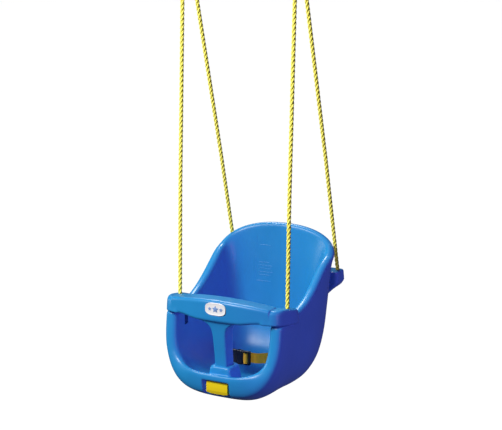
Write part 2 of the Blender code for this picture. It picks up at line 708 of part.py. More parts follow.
def buckle_plug(surface, parent):
    """The left half: the threaded frame, and a guide and two sprung arms that enter the socket."""
    plug = plate("buckle_plug", -1, 0.0002, PLUG_BODY + 0.026, 0.0055, 0.0204, surface, parent, 0.0015)
    cut_slots(plug, -1, PLUG_BODY, parent)
    join(plug, plate("guide", 1, -0.0030, SOCKET_CASE - 0.0040, 0.0022, 0.0030, None, parent))
    for sign in (-1, 1):
        for near, far, low, high in ((-0.0030, 0.0108, 0.0110, 0.0145), (0.0045, 0.0105, 0.0140, 0.0170)):
            low_z, high_z = sorted((BELT_Z + sign * low, BELT_Z + sign * high))
            join(plug, box("arm", (BUCKLE_X + near, BELT_Y - 0.0032, low_z), (BUCKLE_X + far, BELT_Y + 0.0032, high_z),
                           None, parent))
    return plug


# ---- hardware -----------------------------------------------------------------------------------


def d_ring(side, surface):
    """A ring with a straight lower bar for the ropes' eyes and a round top that hangs."""
    centre_z = -RING_DROP
    corner = 0.008
    points = []
    for k in range(9):
        x = -RING_BAR_HALF + 2 * RING_BAR_HALF * k / 8
        points.append((x, centre_z))
    for k in range(1, 5):
        a = -pi / 2 + radians(100) * k / 4
        points.append((RING_BAR_HALF + corner * cos(a), centre_z + corner + corner * sin(a)))
    top_z = RING_WIRE_R
    rise = top_z - (centre_z + corner * 1.2)
    half = RING_BAR_HALF + corner
    for k in range(1, 20):
        a = pi * k / 20
        flat = abs(cos(a)) ** 0.8 * (1 if cos(a) >= 0 else -1)
        points.append((half * flat, centre_z + corner * 1.2 + rise * sin(a) ** 0.9))
    for k in range(4):
        a = pi + radians(-10) + radians(100) * k / 4
        points.append((-RING_BAR_HALF + corner * cos(a), centre_z + corner + corner * sin(a)))
    middle = side * HOLE_X
    name = "ring_left" if side < 0 else "ring_right"
    return tube(name, [(middle + x, 0.0, z) for x, z in points], RING_WIRE_R, surface, None, 2, True)


def rope_stop(name, side, front, surface, parent):
    up, _, _ = rope_direction(front)
    ceiling = 0.056 if front else 0.017
    start = rope_start(side, front, ceiling + GAP)
    profile = [(0.0, 0.0078), (0.002, STOP_R), (0.012, STOP_R), (STOP_LENGTH - 0.003, 0.0085), (STOP_LENGTH, 0.0068)]
    return turned(name, profile, start, -up, surface, parent, 18)


def rope_ferrule(name, side, front, surface, parent):
    """An oval sleeve pressed over the rope and its tail."""
    up, inward, length = rope_direction(front)
    aside = eye_aside(front)
    top = rope_start(side, front, 0.0) + up * length + Vector((aside, 0, 0))
    middle = top + inward * (TAIL_SPACING / 2) - up * FERRULE_DROP
    across = Vector((1, 0, 0))

    def oval(at, radius):
        outline = []
        for k in range(20):
            a = 2 * pi * k / 20
            shift = TAIL_SPACING / 2 * (1 if sin(a) > 0 else -1)
            if abs(sin(a)) < 1e-9:
                shift = 0.0
            outline.append(at + across * radius * cos(a) + inward * (radius * sin(a) + shift))
        return outline

    low = middle - up * FERRULE_LENGTH / 2
    high = middle + up * FERRULE_LENGTH / 2
    sleeve = loft(name, [oval(low, 0.0068), oval(low + up * 0.001, 0.0078), oval(high - up * 0.001, 0.0078),
                         oval(high, 0.0068)], surface, parent)
    cut(sleeve, loft("bore", [oval(low - up * 0.01, ROPE_R + GAP), oval(high + up * 0.01, ROPE_R + GAP)], None, parent))
    return sleeve


def belt_screw(side, steel, parent):
    name = "belt_screw_left" if side < 0 else "belt_screw_right"
    washer_name = "belt_washer_left" if side < 0 else "belt_washer_right"
    y, z = ANCHOR_Y, belt_height(ANCHOR_X)
    face = ANCHOR_X - WEB_THICK - 2 * GAP
    washer = turned(washer_name, [(0, 0.0085), (0.0012, 0.0085)], (side * face, y, z), (-side, 0, 0), steel, parent, 20)
    cut(washer, rod("hole", (side * (face + 0.01), y, z), (side * (face - 0.01), y, z), 0.0025, None, parent, 14))
    head = face - 0.0012 - GAP
    profile = [(0.0, 0.0030), (0.0008, 0.0048), (0.0026, 0.0056), (0.00261, 0.0021), (0.0155, 0.0021), (0.0168, 0.0008)]
    return turned(name, profile, (side * (head - 0.0026), y, z), (side, 0, 0), steel, parent, 14)


# ---- the whole swing ----------------------------------------------------------------------------


def clear_scene():
    for item in list(bpy.data.objects):
        bpy.data.objects.remove(item)


def empty(name, matrix, parent=None):
    guide = bpy.data.objects.new(name, None)
    bpy.context.scene.collection.objects.link(guide)
    guide.parent = parent
    guide.matrix_local = matrix
    return guide


def move_origin(piece, point):
    """Put a moving piece's origin on its joint, leaving its shape where it is."""
    piece.data.transform(Matrix.Translation(-Vector(point)))
    piece.location = point


def build():
    clear_scene()
    blue = material("seat_plastic", (0.016, 0.190, 0.590), 0.38)
    yellow = material("latch_plastic", (0.850, 0.680, 0.010), 0.40)
    rope = material("rope", (0.800, 0.740, 0.090), 0.75)
    webbing = material("webbing", (0.760, 0.560, 0.040), 0.85)
    black = material("buckle_plastic", (0.012, 0.013, 0.020), 0.45)
    white = material("badge_plastic", (0.850, 0.860, 0.880), 0.35)
    steel = material("steel", (0.560, 0.570, 0.580), 0.30, 1.0)

    # the seat swings about the rings' lower bars, and is drawn in a frame of its own
    hang = Matrix.Translation((0, 0, -RING_DROP)) @ Matrix.Rotation(RECLINE, 4, "X")
    swing_axis = empty("swing_axis", hang)
    frame = empty("seat_frame", Matrix.Translation((0, -BAR_Y, -BAR_Z)), swing_axis)

    seat_bucket(blue, frame)
    move_origin(t_bar(blue, frame), (0, (FOOT_FRONT + FOOT_BACK) / 2, FOOT_TOP))
    badge_solid("badge", 0.0, -0.0959, -0.0998, white, frame, 0.0008)
    move_origin(latch(yellow, frame), (0, LATCH_PIN_Y, LATCH_PIN_Z))
    rod("latch_pin", (-0.0485, LATCH_PIN_Y, LATCH_PIN_Z), (0.0485, LATCH_PIN_Y, LATCH_PIN_Z), LATCH_PIN_R,
        steel, frame, 14)
    latch_spring(steel, frame)
    for side, word in ((-1, "left"), (1, "right")):
        d_ring(side, steel)
        for front, place in ((True, "front"), (False, "rear")):
            ceiling = 0.056 if front else 0.017
            tube(f"rope_{place}_{word}", rope_points(side, front, ceiling - GAP), ROPE_R, rope, frame, 2)
            rope_stop(f"rope_stop_{place}_{word}", side, front, black, frame)
            rope_ferrule(f"rope_ferrule_{place}_{word}", side, front, steel, frame)
        belt_screw(side, steel, frame)
    ribbon("belt_strap_right", strap_path(BUCKLE_X + SOCKET_CASE), 1, webbing, frame)
    ribbon("belt_strap_left", strap_path(-BUCKLE_X + PLUG_BODY), -1, webbing, frame)
    buckle_socket(black, frame)
    move_origin(buckle_plug(black, frame), (BUCKLE_X, BELT_Y, BELT_Z))


build()
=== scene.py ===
"""Toddler bucket swing: the detailed surfaces, materials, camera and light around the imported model.

Pieces are drawn in the seat frame, whose origin is midway between the front bar's two rope holes, and
are carried into the row frame by SEAT. Everything is in metres.
"""
import json
from math import cos, sin, radians, pi, hypot

import bmesh
import bpy
import numpy as np
from mathutils import Matrix, Vector
from mathutils.bvhtree import BVHTree

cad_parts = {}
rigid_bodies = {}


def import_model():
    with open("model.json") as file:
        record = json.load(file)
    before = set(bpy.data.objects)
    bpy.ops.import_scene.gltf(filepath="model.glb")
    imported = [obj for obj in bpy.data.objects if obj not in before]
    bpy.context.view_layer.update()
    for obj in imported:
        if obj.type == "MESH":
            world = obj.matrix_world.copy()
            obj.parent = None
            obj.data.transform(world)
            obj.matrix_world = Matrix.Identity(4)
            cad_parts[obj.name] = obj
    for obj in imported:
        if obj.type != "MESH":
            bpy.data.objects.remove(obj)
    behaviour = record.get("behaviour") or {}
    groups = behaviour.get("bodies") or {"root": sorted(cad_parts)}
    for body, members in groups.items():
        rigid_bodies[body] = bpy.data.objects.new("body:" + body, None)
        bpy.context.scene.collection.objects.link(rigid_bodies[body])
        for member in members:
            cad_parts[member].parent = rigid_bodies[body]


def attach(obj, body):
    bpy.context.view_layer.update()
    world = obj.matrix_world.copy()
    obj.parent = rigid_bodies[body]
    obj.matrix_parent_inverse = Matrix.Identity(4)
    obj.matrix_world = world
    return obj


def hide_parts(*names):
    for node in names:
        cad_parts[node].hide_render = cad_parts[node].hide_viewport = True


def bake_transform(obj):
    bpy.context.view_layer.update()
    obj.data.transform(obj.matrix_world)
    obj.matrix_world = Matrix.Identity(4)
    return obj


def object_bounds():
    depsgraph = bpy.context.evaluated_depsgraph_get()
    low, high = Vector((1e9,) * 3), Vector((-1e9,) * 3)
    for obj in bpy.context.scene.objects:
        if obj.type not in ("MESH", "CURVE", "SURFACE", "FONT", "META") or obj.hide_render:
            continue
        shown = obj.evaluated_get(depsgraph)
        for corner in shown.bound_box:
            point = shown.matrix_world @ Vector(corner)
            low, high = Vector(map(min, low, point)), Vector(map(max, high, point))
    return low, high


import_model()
cad_low, cad_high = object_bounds()

# ---- dimensions shared with the CAD ----
HOLE_X = 0.17
GAP = 0.0003
RING_WIRE_R = 0.004
RING_BAR_HALF = 0.026
RING_CORNER = 0.008
RING_DROP = 0.05
BAR_Y = 0.038
BAR_Z = 1.073
RECLINE = radians(-4.45)
ROPE_R = 0.006
ROPE_HOLE_R = 0.0076
EYE_R = 0.0106
EYE_ASIDE = {True: 0.00725, False: -0.00725}  # a front rope's eye and a rear one's, along the bar
TAIL_SPACING = 0.0128
FERRULE_DROP = 0.062
FERRULE_LENGTH = 0.03
STOP_R = 0.0095
POCKET_R = STOP_R + 0.0012
POCKET_DEPTH = 0.032
STOP_LENGTH = 0.02
STOP_DEPTH = {True: 0.056, False: 0.017}  # below a front rope's hole, and below a rear one's
REAR_HOLE_Y = 0.334
REAR_HOLE_Z = 0.034
WALL = 0.027
SIDE_RIM = 0.037
LIP_RIM = 0.07
CREST = 0.04
PAD_Z = -0.042
BAR_END_BACK = 0.042
FOOT_HALF_X = 0.019
FOOT_FRONT = -0.07
FOOT_BACK = -0.027
FOOT_TOP = -0.172
FOOT_BOTTOM = -0.222
SOCKET_CLEARANCE = 0.0008
NOTCH_HALF_X = 0.042
NOTCH_TOP = -0.2075
NOTCH_BACK = -0.079
TOOTH_BOTTOM = -0.218
CATCH_TOP = -0.2035
LATCH_HALF_X = 0.0335
LATCH_PIN_Y = -0.0855
LATCH_PIN_Z = -0.243
LATCH_PIN_R = 0.002
BELT_Y = 0.06
BELT_Z = -0.184
BUCKLE_X = -0.018
SOCKET_CASE = 0.016
PLUG_BODY = 0.007
BELT_RISE = -0.04
WEB_WIDTH = 0.03
WEB_THICK = 0.0018
ANCHOR_X = 0.121
ANCHOR_Y = 0.19

SEAT = (Matrix.Translation((0, 0, -RING_DROP)) @ Matrix.Rotation(RECLINE, 4, "X")
        @ Matrix.Translation((0, -BAR_Y, -BAR_Z)))

# ---- materials ----


class Graph:
    """The nodes of a new material or of the world, and the ways in which they are joined up here."""

    def __init__(self, owner):
        owner.use_nodes = True
        self.owner, self.nodes, self.links = owner, owner.node_tree.nodes, owner.node_tree.links

    def feed(self, node, **sockets):
        """Give sockets, whose names have _ for a blank here, a constant or another node's output."""
        for name, value in sockets.items():
            socket = node.inputs[name.replace("_", " ")]
            if isinstance(value, bpy.types.NodeSocket):
                self.links.new(value, socket)
            else:
                socket.default_value = value

    def noise(self, scale, detail=3.0, roughness=0.55, vector=None):
        node = self.nodes.new("ShaderNodeTexNoise")
        if vector is None:
            vector = self.nodes.new("ShaderNodeTexCoord").outputs["Object"]
        self.feed(node, Vector=vector, Scale=scale, Detail=detail, Roughness=roughness)
        return node.outputs["Fac"]

    def ramp(self, source, low, high, low_at=0.3, high_at=0.7):
        """A colour ramp between two colours, or between two numbers given as greys."""
        node = self.nodes.new("ShaderNodeValToRGB")
        for element, place, value in zip(node.color_ramp.elements, (low_at, high_at), (low, high)):
            element.position = place
            element.color = (*value, 1) if isinstance(value, tuple) else (value, value, value, 1)
        self.feed(node, Fac=source)
        return node.outputs["Color"]

    def bump(self, height, strength, distance, below=None):
        node = self.nodes.new("ShaderNodeBump")
        self.feed(node, Height=height, Strength=strength, Distance=distance)
        if below is not None:
            self.feed(node, Normal=below)
        return node.outputs["Normal"]

    def stretched(self, vector, scale):
        node = self.nodes.new("ShaderNodeMapping")
        self.feed(node, Vector=vector, Scale=scale)
        return node.outputs["Vector"]

    def multiplied(self, base, tone):
        node = self.nodes.new("ShaderNodeMix")
        node.data_type, node.blend_type = "RGBA", "MULTIPLY"
        self.feed(node, Factor=1.0, A=base, B=tone)
        return node.outputs["Result"]

    def finish(self, **sockets):
        """Set the shader's own sockets, and return the material."""
        self.feed(self.nodes["Principled BSDF"], **sockets)
        return self.owner


def moulded_plastic(name, colour, roughness, grain=0.12, spread=0.06, specular=0.5):
    """Moulded plastic: a slow drift of colour, patchy gloss, fine grain and a faint waviness."""
    graph = Graph(bpy.data.materials.new(name))
    darker = tuple(c * (1 - spread) for c in colour)
    lighter = tuple(min(c * (1 + spread), 1.0) for c in colour)
    wavy = graph.bump(graph.noise(16.0, 1.0), 0.1, 0.002)
    return graph.finish(Base_Color=graph.ramp(graph.noise(7.0), darker, lighter),
                        Roughness=graph.ramp(graph.noise(38.0, 4.0), roughness - 0.04, roughness + 0.05),
                        Normal=graph.bump(graph.noise(900.0, 2.0), grain, 0.0002, wavy),
                        Specular_IOR_Level=specular)


def bright_steel(name, colour, roughness):
    """Zinc-plated steel with fine draw marks and a patchy gloss."""
    graph = Graph(bpy.data.materials.new(name))
    spot = graph.nodes.new("ShaderNodeTexCoord").outputs["Object"]
    drawn = graph.noise(1.0, vector=graph.stretched(spot, (60.0, 60.0, 900.0)))
    darker = tuple(c * 0.86 for c in colour)
    return graph.finish(Base_Color=graph.ramp(graph.noise(120.0), darker, colour),
                        Roughness=graph.ramp(drawn, roughness - 0.06, roughness + 0.1),
                        Normal=graph.bump(drawn, 0.08, 0.0002), Metallic=1.0)


def rope_fibre(name, crown, groove_shade):
    """Twisted yarn: fine lines along each strand, with painted shade where the strands meet."""
    graph = Graph(bpy.data.materials.new(name))
    spot = graph.nodes.new("ShaderNodeUVMap").outputs["UV"]
    yarn = graph.noise(1.0, 4.0, 0.6, graph.stretched(spot, (60.0, 4.0, 1.0)))
    depth = graph.nodes.new("ShaderNodeAttribute")
    depth.attribute_name = "crown"
    # painted shade: by the crown attribute the yarn colour falls to the darker groove colour between strands
    base = graph.ramp(depth.outputs["Fac"], groove_shade, crown, 0.15, 0.75)
    return graph.finish(Base_Color=graph.multiplied(base, graph.ramp(yarn, 0.84, 1.0)),
                        Normal=graph.bump(yarn, 0.55, 0.0006), Roughness=0.62, Sheen_Weight=0.25)


def woven_webbing(name, light, dark):
    """Flat webbing: ribs across it and yarns along it, from the strip's own measure in millimetres."""
    graph = Graph(bpy.data.materials.new(name))
    spot = graph.nodes.new("ShaderNodeUVMap").outputs["UV"]
    product = graph.nodes.new("ShaderNodeMath")
    product.operation = "MULTIPLY"
    for factor, (direction, scale) in zip(product.inputs, (("X", 0.19), ("Y", 0.26))):
        wave = graph.nodes.new("ShaderNodeTexWave")
        wave.bands_direction = direction
        graph.feed(wave, Vector=spot, Scale=scale, Distortion=0.6, Detail=1.0)
        graph.links.new(wave.outputs["Fac"], factor)
    weave = product.outputs["Value"]
    fuzz = graph.noise(700.0)
    base = graph.ramp(weave, dark, light, 0.05, 0.6)
    return graph.finish(Base_Color=graph.multiplied(base, graph.ramp(fuzz, 0.8, 1.0)),
                        Normal=graph.bump(fuzz, 0.25, 0.0002, graph.bump(weave, 0.6, 0.0005)),
                        Roughness=0.78, Sheen_Weight=0.3)


BLUE = moulded_plastic("blue_plastic", (0.014, 0.23, 0.52), 0.33, 0.04, 0.05, 0.36)
YELLOW = moulded_plastic("yellow_plastic", (0.86, 0.64, 0.006), 0.4)
WHITE = moulded_plastic("white_plastic", (0.86, 0.85, 0.87), 0.34)
EMBLEM = moulded_plastic("emblem_plastic", (0.2, 0.33, 0.64), 0.4)
BLACK = moulded_plastic("black_plastic", (0.006, 0.006, 0.018), 0.34, 0.12, 0.05, 0.35)
# the second colour is painted shade for the grooves between the strands
ROPE = rope_fibre("yellow_rope", (0.96, 0.92, 0.13), (0.66, 0.6, 0.08))
WEBBING = woven_webbing("gold_webbing", (1.0, 0.6, 0.025), (0.7, 0.38, 0.012))
THREAD = moulded_plastic("stitching", (0.7, 0.56, 0.12), 0.7, 0.5)
STEEL = bright_steel("zinc_steel", (0.64, 0.65, 0.66), 0.28)

# ---- mesh tools ----


def smooth_step(value):
    value = min(max(value, 0.0), 1.0)
    return value * value * (3 - 2 * value)


def signed_power(value, power):
    return abs(value) ** power * (1 if value >= 0 else -1)


def through(knots, count, closed=False):
    """count points on a smooth curve through the knots, evenly spread over the knots' chord length."""
    knots = [Vector(k) for k in knots]
    if closed:
        knots.append(knots[0])
    last = len(knots) - 1
    chord = [0.0]
    for a, b in zip(knots, knots[1:]):
        chord.append(chord[-1] + (b - a).length)
    slopes = []
    for i in range(len(knots)):
        if closed and i in (0, last):
            slopes.append((knots[1] - knots[-2]) / (chord[1] + chord[-1] - chord[-2]))
            continue
        before, after = max(i - 1, 0), min(i + 1, last)
        slopes.append((knots[after] - knots[before]) / (chord[after] - chord[before]))
    found = []
    i = 0
    steps = count if closed else count - 1
    for k in range(count):
        at = chord[-1] * k / steps
        while i < last - 1 and chord[i + 1] <= at:
            i += 1
        span = chord[i + 1] - chord[i]
        t = (at - chord[i]) / span
        found.append((2 * t**3 - 3 * t**2 + 1) * knots[i] + (t**3 - 2 * t**2 + t) * span * slopes[i]
                     + (3 * t**2 - 2 * t**3) * knots[i + 1] + (t**3 - t**2) * span * slopes[i + 1])
    return found


def slope(line, k):
    """From the point before the k-th point to the one after it."""
    return line[min(k + 1, len(line) - 1)] - line[max(k - 1, 0)]


def new_object(name, data):
    made = bpy.data.objects.new(name, data)
    bpy.context.scene.collection.objects.link(made)
    return made


def new_piece(name, mesh, edit, surface, sharp=40):
    """An object of the edited mesh, shaded smooth but for edges of more than 'sharp' degrees."""
    edit.to_mesh(mesh)
    edit.free()
    mesh.shade_smooth()
    mesh.set_sharp_from_angle(angle=radians(sharp))
    if surface is not None:
        mesh.materials.append(surface)
    return new_object(name, mesh)


def mesh_piece(name, points, faces, surface=None, sharp=40):
    mesh = bpy.data.meshes.new(name)
    mesh.from_pydata([tuple(p) for p in points], [], faces)
    edit = bmesh.new()
    edit.from_mesh(mesh)
    bmesh.ops.recalc_face_normals(edit, faces=edit.faces)
    return new_piece(name, mesh, edit, surface, sharp)


def ring_faces(levels, sides, first=0):
    """The sides and both caps of a solid whose rings of points follow one another from point 'first'."""
    faces = []
    last = first + (levels - 1) * sides
    for low in range(first, last, sides):
        for i in range(sides):
            j = (i + 1) % sides
            faces.append((low + i, low + j, low + sides + j, low + sides + i))
    return faces + [tuple(range(first + sides - 1, first - 1, -1)), tuple(range(last, last + sides))]


def loft(name, rings, surface=None, sharp=40):
    """A closed solid through rings of equal length, capped at both ends."""
    points = [p for ring in rings for p in ring]
    return mesh_piece(name, points, ring_faces(len(rings), len(rings[0])), surface, sharp)


def prism(name, axis, low, high, outline):
    """A solid with one outline, of the other two coordinates, from low to high along an axis."""
    return loft(name, [[Vector((*p[:axis], along, *p[axis:])) for p in outline] for along in (low, high)])


def block(name, low, high, surface=None, bevel=0.0):
    edit = bmesh.new()
    bmesh.ops.create_cube(edit, size=1.0)
    bmesh.ops.scale(edit, vec=Vector(high) - Vector(low), verts=edit.verts)
    bmesh.ops.translate(edit, vec=(Vector(high) + Vector(low)) / 2, verts=edit.verts)
    if bevel:
        bmesh.ops.bevel(edit, geom=list(edit.edges), offset=bevel, segments=3, affect="EDGES", profile=0.5)
    return new_piece(name, bpy.data.meshes.new(name), edit, surface)


def full_turn(count):
    """Evenly spread angles."""
    return [2 * pi * i / count for i in range(count)]


def circle(middle, side, other, radius, count):
    return [middle + (side * cos(a) + other * sin(a)) * radius for a in full_turn(count)]


def turned(name, profile, start, direction, surface=None, sides=48):
    """A solid of revolution: profile is (distance along the axis, radius), from one end to the other."""
    axis = Vector(direction).normalized()
    side = axis.orthogonal().normalized()
    other = axis.cross(side)
    rings = [circle(Vector(start) + axis * along, side, other, radius, sides) for along, radius in profile]
    return loft(name, rings, surface)


def rod(name, start, end, radius):
    span = Vector(end) - Vector(start)
    return turned(name, [(0.0, radius), (span.length, radius)], start, span, sides=40)


def carried(points, closed=False):
    """Two directions across a path at each point, turned as little as possible from one to the next."""
    side = None
    frames = []
    for k in range(len(points)):
        along = points[(k + 1) % len(points)] - points[k - 1] if closed else slope(points, k)
        tangent = along.normalized()
        if side is None:
            side = tangent.orthogonal().normalized()
        side = (side - tangent * side.dot(tangent)).normalized()
        frames.append((side, tangent.cross(side)))
    return frames


def tube(name, points, radius, surface, sides, closed=False):
    """A round bar along points."""
    rings = [circle(point, side, other, radius, sides)
             for point, (side, other) in zip(points, carried(points, closed))]
    if not closed:
        return loft(name, rings, surface)
    count = len(rings)
    # the directions come back turned by some angle: match the last ring to the first
    start = min(range(sides), key=lambda i: (rings[0][i] - rings[-1][0]).length)
    faces = []
    for k in range(count):
        shift = start if k == count - 1 else 0
        ahead = (k + 1) % count * sides
        for i in range(sides):
            j = (i + 1) % sides
            faces.append((k * sides + i, k * sides + j,
                          ahead + (j + shift) % sides, ahead + (i + shift) % sides))
    return mesh_piece(name, [p for ring in rings for p in ring], faces, surface)


def evaluated(piece):
    graph = bpy.context.evaluated_depsgraph_get()
    graph.update()
    result = bpy.data.meshes.new_from_object(piece.evaluated_get(graph))
    piece.modifiers.clear()
    old = piece.data
    name = old.name
    piece.data = result
    bpy.data.meshes.remove(old)
    result.name = name


def combine(target, tool, operation):
    modifier = target.modifiers.new("combine", "BOOLEAN")
    modifier.operation = operation
    modifier.object = tool
    modifier.solver = "EXACT"
    evaluated(target)
    bpy.data.objects.remove(tool)


def cut(target, *tools):
    for tool in tools:
        combine(target, tool, "DIFFERENCE")


def join(target, *tools):
    for tool in tools:
        combine(target, tool, "UNION")


def soften(piece, voxel, passes, most_faces=0):
    """Remesh a solid evenly and smooth it, so that its edges and joins are rounded as a mould rounds them."""
    remesh = piece.modifiers.new("remesh", "REMESH")
    remesh.mode = "VOXEL"
    remesh.voxel_size = voxel * 1.0
    relax = piece.modifiers.new("relax", "SMOOTH")
    relax.factor = 0.5
    relax.iterations = passes
    evaluated(piece)
    faces = len(piece.data.polygons) * 2
    if most_faces and faces > most_faces:
        thin = piece.modifiers.new("thin", "DECIMATE")
        thin.ratio = most_faces / faces
        evaluated(piece)
    piece.data.shade_smooth()


def place(piece, body, slot_name, *nodes):
    """Carry a piece from the seat frame into the row frame, on its body, in place of CAD nodes."""
    piece.data.transform(SEAT)
    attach(piece, body)
    if nodes:
        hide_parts(*nodes)


# ---- the bucket ----

# The wall's mid surface is a patch: v runs from the front rim, under the child, to the top of the back;
# u runs from the left rim to the right rim. Each row is a rounded U between the side rim and the middle.
MIDDLE_LINE = [(-0.072, -0.2205), (-0.03, -0.243), (0.04, -0.257), (0.12, -0.263), (0.195, -0.257),
               (0.254, -0.228), (0.288, -0.168), (0.301, -0.085), (0.312, 0.01), (0.321, 0.09),
               (0.325, 0.145)]
SIDE_LINE = [(0.164, -0.047, -0.048), (0.1655, -0.01, -0.044), (0.168, 0.03, -0.04),
             (0.1695, 0.062, -0.033), (0.171, 0.092, -0.023), (0.172, 0.12, -0.01),
             (0.1725, 0.15, 0.008), (0.1725, 0.178, 0.028), (0.1725, 0.203, 0.047),
             (0.173, 0.226, 0.063), (0.1735, 0.246, 0.074)]
ROWS = 97
COLUMNS = 145
MIDDLE_ROWS = through(MIDDLE_LINE, ROWS)
SIDE_ROWS = through(SIDE_LINE, ROWS)


def patch_place(i, j):
    """A grid point's u and v."""
    return -1 + 2 * i / (COLUMNS - 1), j / (ROWS - 1)


def section_point(i, j):
    """A point of the mid surface: the row's U shape squares off at the front and rounds at the back."""
    middle, rim = MIDDLE_ROWS[j], SIDE_ROWS[j]
    u, v = patch_place(i, j)
    square_y = 3.1 + 0.4 * smooth_step(v / 0.7) - 0.6 * smooth_step((v - 0.7) / 0.3)
    square_z = 3.3 + 0.7 * smooth_step(v / 0.4) - 1.9 * smooth_step((v - 0.5) / 0.5)
    across = abs(sin(u * pi / 2)) ** (2 / square_y)
    depth_y = (max(1 - across**square_y, 0.0)) ** (1 / square_y)
    depth_z = (max(1 - across**square_z, 0.0)) ** (1 / square_z)
    return Vector((signed_power(u, 0) * rim.x * across, rim.y + (middle.x - rim.y) * depth_y,
                   rim.z + (middle.y - rim.z) * depth_z))


def wall_thickness(u, v):
    """Thick at the front rim, most of all at its lowest point, and even everywhere else."""
    lip = smooth_step((0.75 - abs(u)) / 0.6)
    front = SIDE_RIM + (LIP_RIM - SIDE_RIM) * lip
    reach = 0.23 + 0.13 * abs(u) ** 4
    return WALL + (front - WALL) * (1 - smooth_step(v / reach))


def crest_shift(u, v):
    """The inner skin is carried forward along the lip, so that its crest stands over its front face."""
    return Vector((0, -CREST * smooth_step((0.75 - abs(u)) / 0.6) * (1 - smooth_step(v / 0.13)), 0))


def patch_normals(grid):
    """Unit normals of the mid surface. At its two upper corners, where both grid lines run nearly
    parallel, they turn smoothly into the normal a little way in."""
    columns = list(zip(*grid))
    own = {(i, j): slope(columns[i], j).cross(slope(grid[j], i)).normalized()
           for j in range(ROWS) for i in range(COLUMNS)}
    normals = dict(own)
    near_column, near_row = round((COLUMNS - 1) * 0.055), round((ROWS - 1) * 0.083)
    for j in range(ROWS - 1 - near_row, ROWS):
        for i in list(range(near_column + 1)) + list(range(COLUMNS - 1 - near_column, COLUMNS)):
            from_side = min(i, COLUMNS - 1 - i)
            weight = (smooth_step(1.5 * (1 - from_side / near_column))
                      * smooth_step(1.5 * (1 - (ROWS - 1 - j) / near_row)))
            steady_column = near_column if i < COLUMNS / 2 else COLUMNS - 1 - near_column
            steady = own[steady_column, ROWS - 1 - near_row]
            normals[i, j] = (own[i, j] * (1 - weight) + steady * weight).normalized()
    return normals


def bucket_shell():
    """The bucket's wall: outer and inner skins from the mid surface, joined by a rounded rim."""
    grid = [[section_point(i, j) for i in range(COLUMNS)] for j in range(ROWS)]
    normals = patch_normals(grid)
    points, index, faces = [], {}, []
    for (i, j), normal in normals.items():
        u, v = patch_place(i, j)
        half = wall_thickness(u, v) / 2
        for skin in (1, -1):
            index[skin, i, j] = len(points)
            points.append(grid[j][i] + normal * half * skin + crest_shift(u, v) * (1 - skin) / 2)
    for j in range(ROWS - 1):
        for i in range(COLUMNS - 1):
            corners = ((i, j), (i + 1, j), (i + 1, j + 1), (i, j + 1))
            faces += [tuple(index[skin, a, b] for a, b in corners) for skin in (1, -1)]
    edge = [(i, 0) for i in range(COLUMNS)] + [(COLUMNS - 1, j) for j in range(1, ROWS)]
    edge += [(i, ROWS - 1) for i in range(COLUMNS - 2, -1, -1)] + [(0, j) for j in range(ROWS - 2, 0, -1)]
    steps = 10
    rings = []
    for k, (i, j) in enumerate(edge):
        before, after = edge[k - 1], edge[(k + 1) % len(edge)]
        along = (grid[after[1]][after[0]] - grid[before[1]][before[0]]).normalized()
        outward = normals[i, j].cross(along).normalized()
        u, v = patch_place(i, j)
        half = wall_thickness(u, v) / 2
        nose = min(half, 0.019 - 0.35 * max(half - 0.019, 0))
        rings.append([index[1, i, j]])
        for s in range(1, steps):
            a = pi * s / steps
            flat = signed_power(cos(a), 0.8)
            rings[-1].append(len(points))
            points.append(grid[j][i] + normals[i, j] * half * flat + outward * nose * sin(a) ** 0.8
                          + crest_shift(u, v) * (1 - flat) / 2)
        rings[-1].append(index[-1, i, j])
    for a, b in zip(rings, rings[1:] + rings[:1]):
        faces += [(a[s], a[s + 1], b[s + 1], b[s]) for s in range(steps)]
    return mesh_piece("bucket", points, faces, BLUE)


def back_ribs(skin):
    """Plain raised ribs on the backrest inside an open frame, laid along the seat's inner skin."""
    lines = [((-0.082, 0.115), (-0.082, 0.08)), ((-0.083, 0.052), (-0.083, -0.012)),
             ((-0.079, -0.02), (-0.03, -0.02)), ((-0.07, 0.088), (-0.036, 0.088))]
    lines += [((-0.072, 0.036 - 0.0095 * k), (-0.072 + reach, 0.036 - 0.0095 * k))
              for k, reach in enumerate((0.034, 0.044, 0.038, 0.046, 0.04))]
    section = ((-1.0, -0.5), (-0.8, 0.3), (-0.4, 0.6), (0.4, 0.6), (0.8, 0.3), (1.0, -0.5))
    steps = 24
    points, faces = [], []
    for (x0, z0), (x1, z1) in lines:
        faces += ring_faces(steps + 1, len(section), len(points))
        along = Vector((x1 - x0, 0, z1 - z0)).normalized()
        for k in range(steps + 1):
            inside = Vector((x0 + (x1 - x0) * k / steps, 0.1, z0 + (z1 - z0) * k / steps))
            hit, normal, _, _ = skin.ray_cast(inside, Vector((0, 1, 0)))
            wide = normal.cross(along).normalized()
            size = 0.55 if k in (0, steps) else 1.0
            points += [hit + (wide * across * 0.001 + normal * high * 0.0009) * size
                       for across, high in section]
    place(mesh_piece("backrest_ribs", points, faces, BLUE), "seat", "seat_plastic")


def rounded_outline(half_x, half_y, corner, steps=6):
    """A rectangle with round corners about the origin."""
    outline = []
    for quarter, (sx, sy) in enumerate(((1, 1), (-1, 1), (-1, -1), (1, -1))):
        for k in range(steps + 1):
            a = pi / 2 * (quarter + k / steps)
            outline.append((sx * (half_x - corner) + corner * cos(a),
                            sy * (half_y - corner) + corner * sin(a)))
    return outline


def rope_direction(front):
    """Unit vector up a rope, the side of it on which the ring's bar lies, and its length to the bar."""
    y, z = (0.0, 0.0) if front else (REAR_HOLE_Y, REAR_HOLE_Z)
    to_bar = Vector((0, BAR_Y - y, BAR_Z - z))
    lean = EYE_R / to_bar.length
    turn = -lean if front else lean
    up = Matrix.Rotation(-turn, 3, "X") @ to_bar.normalized()
    inward = Vector((0, up.z, -up.y)) if front else Vector((0, -up.z, up.y))
    return up, inward, to_bar.length


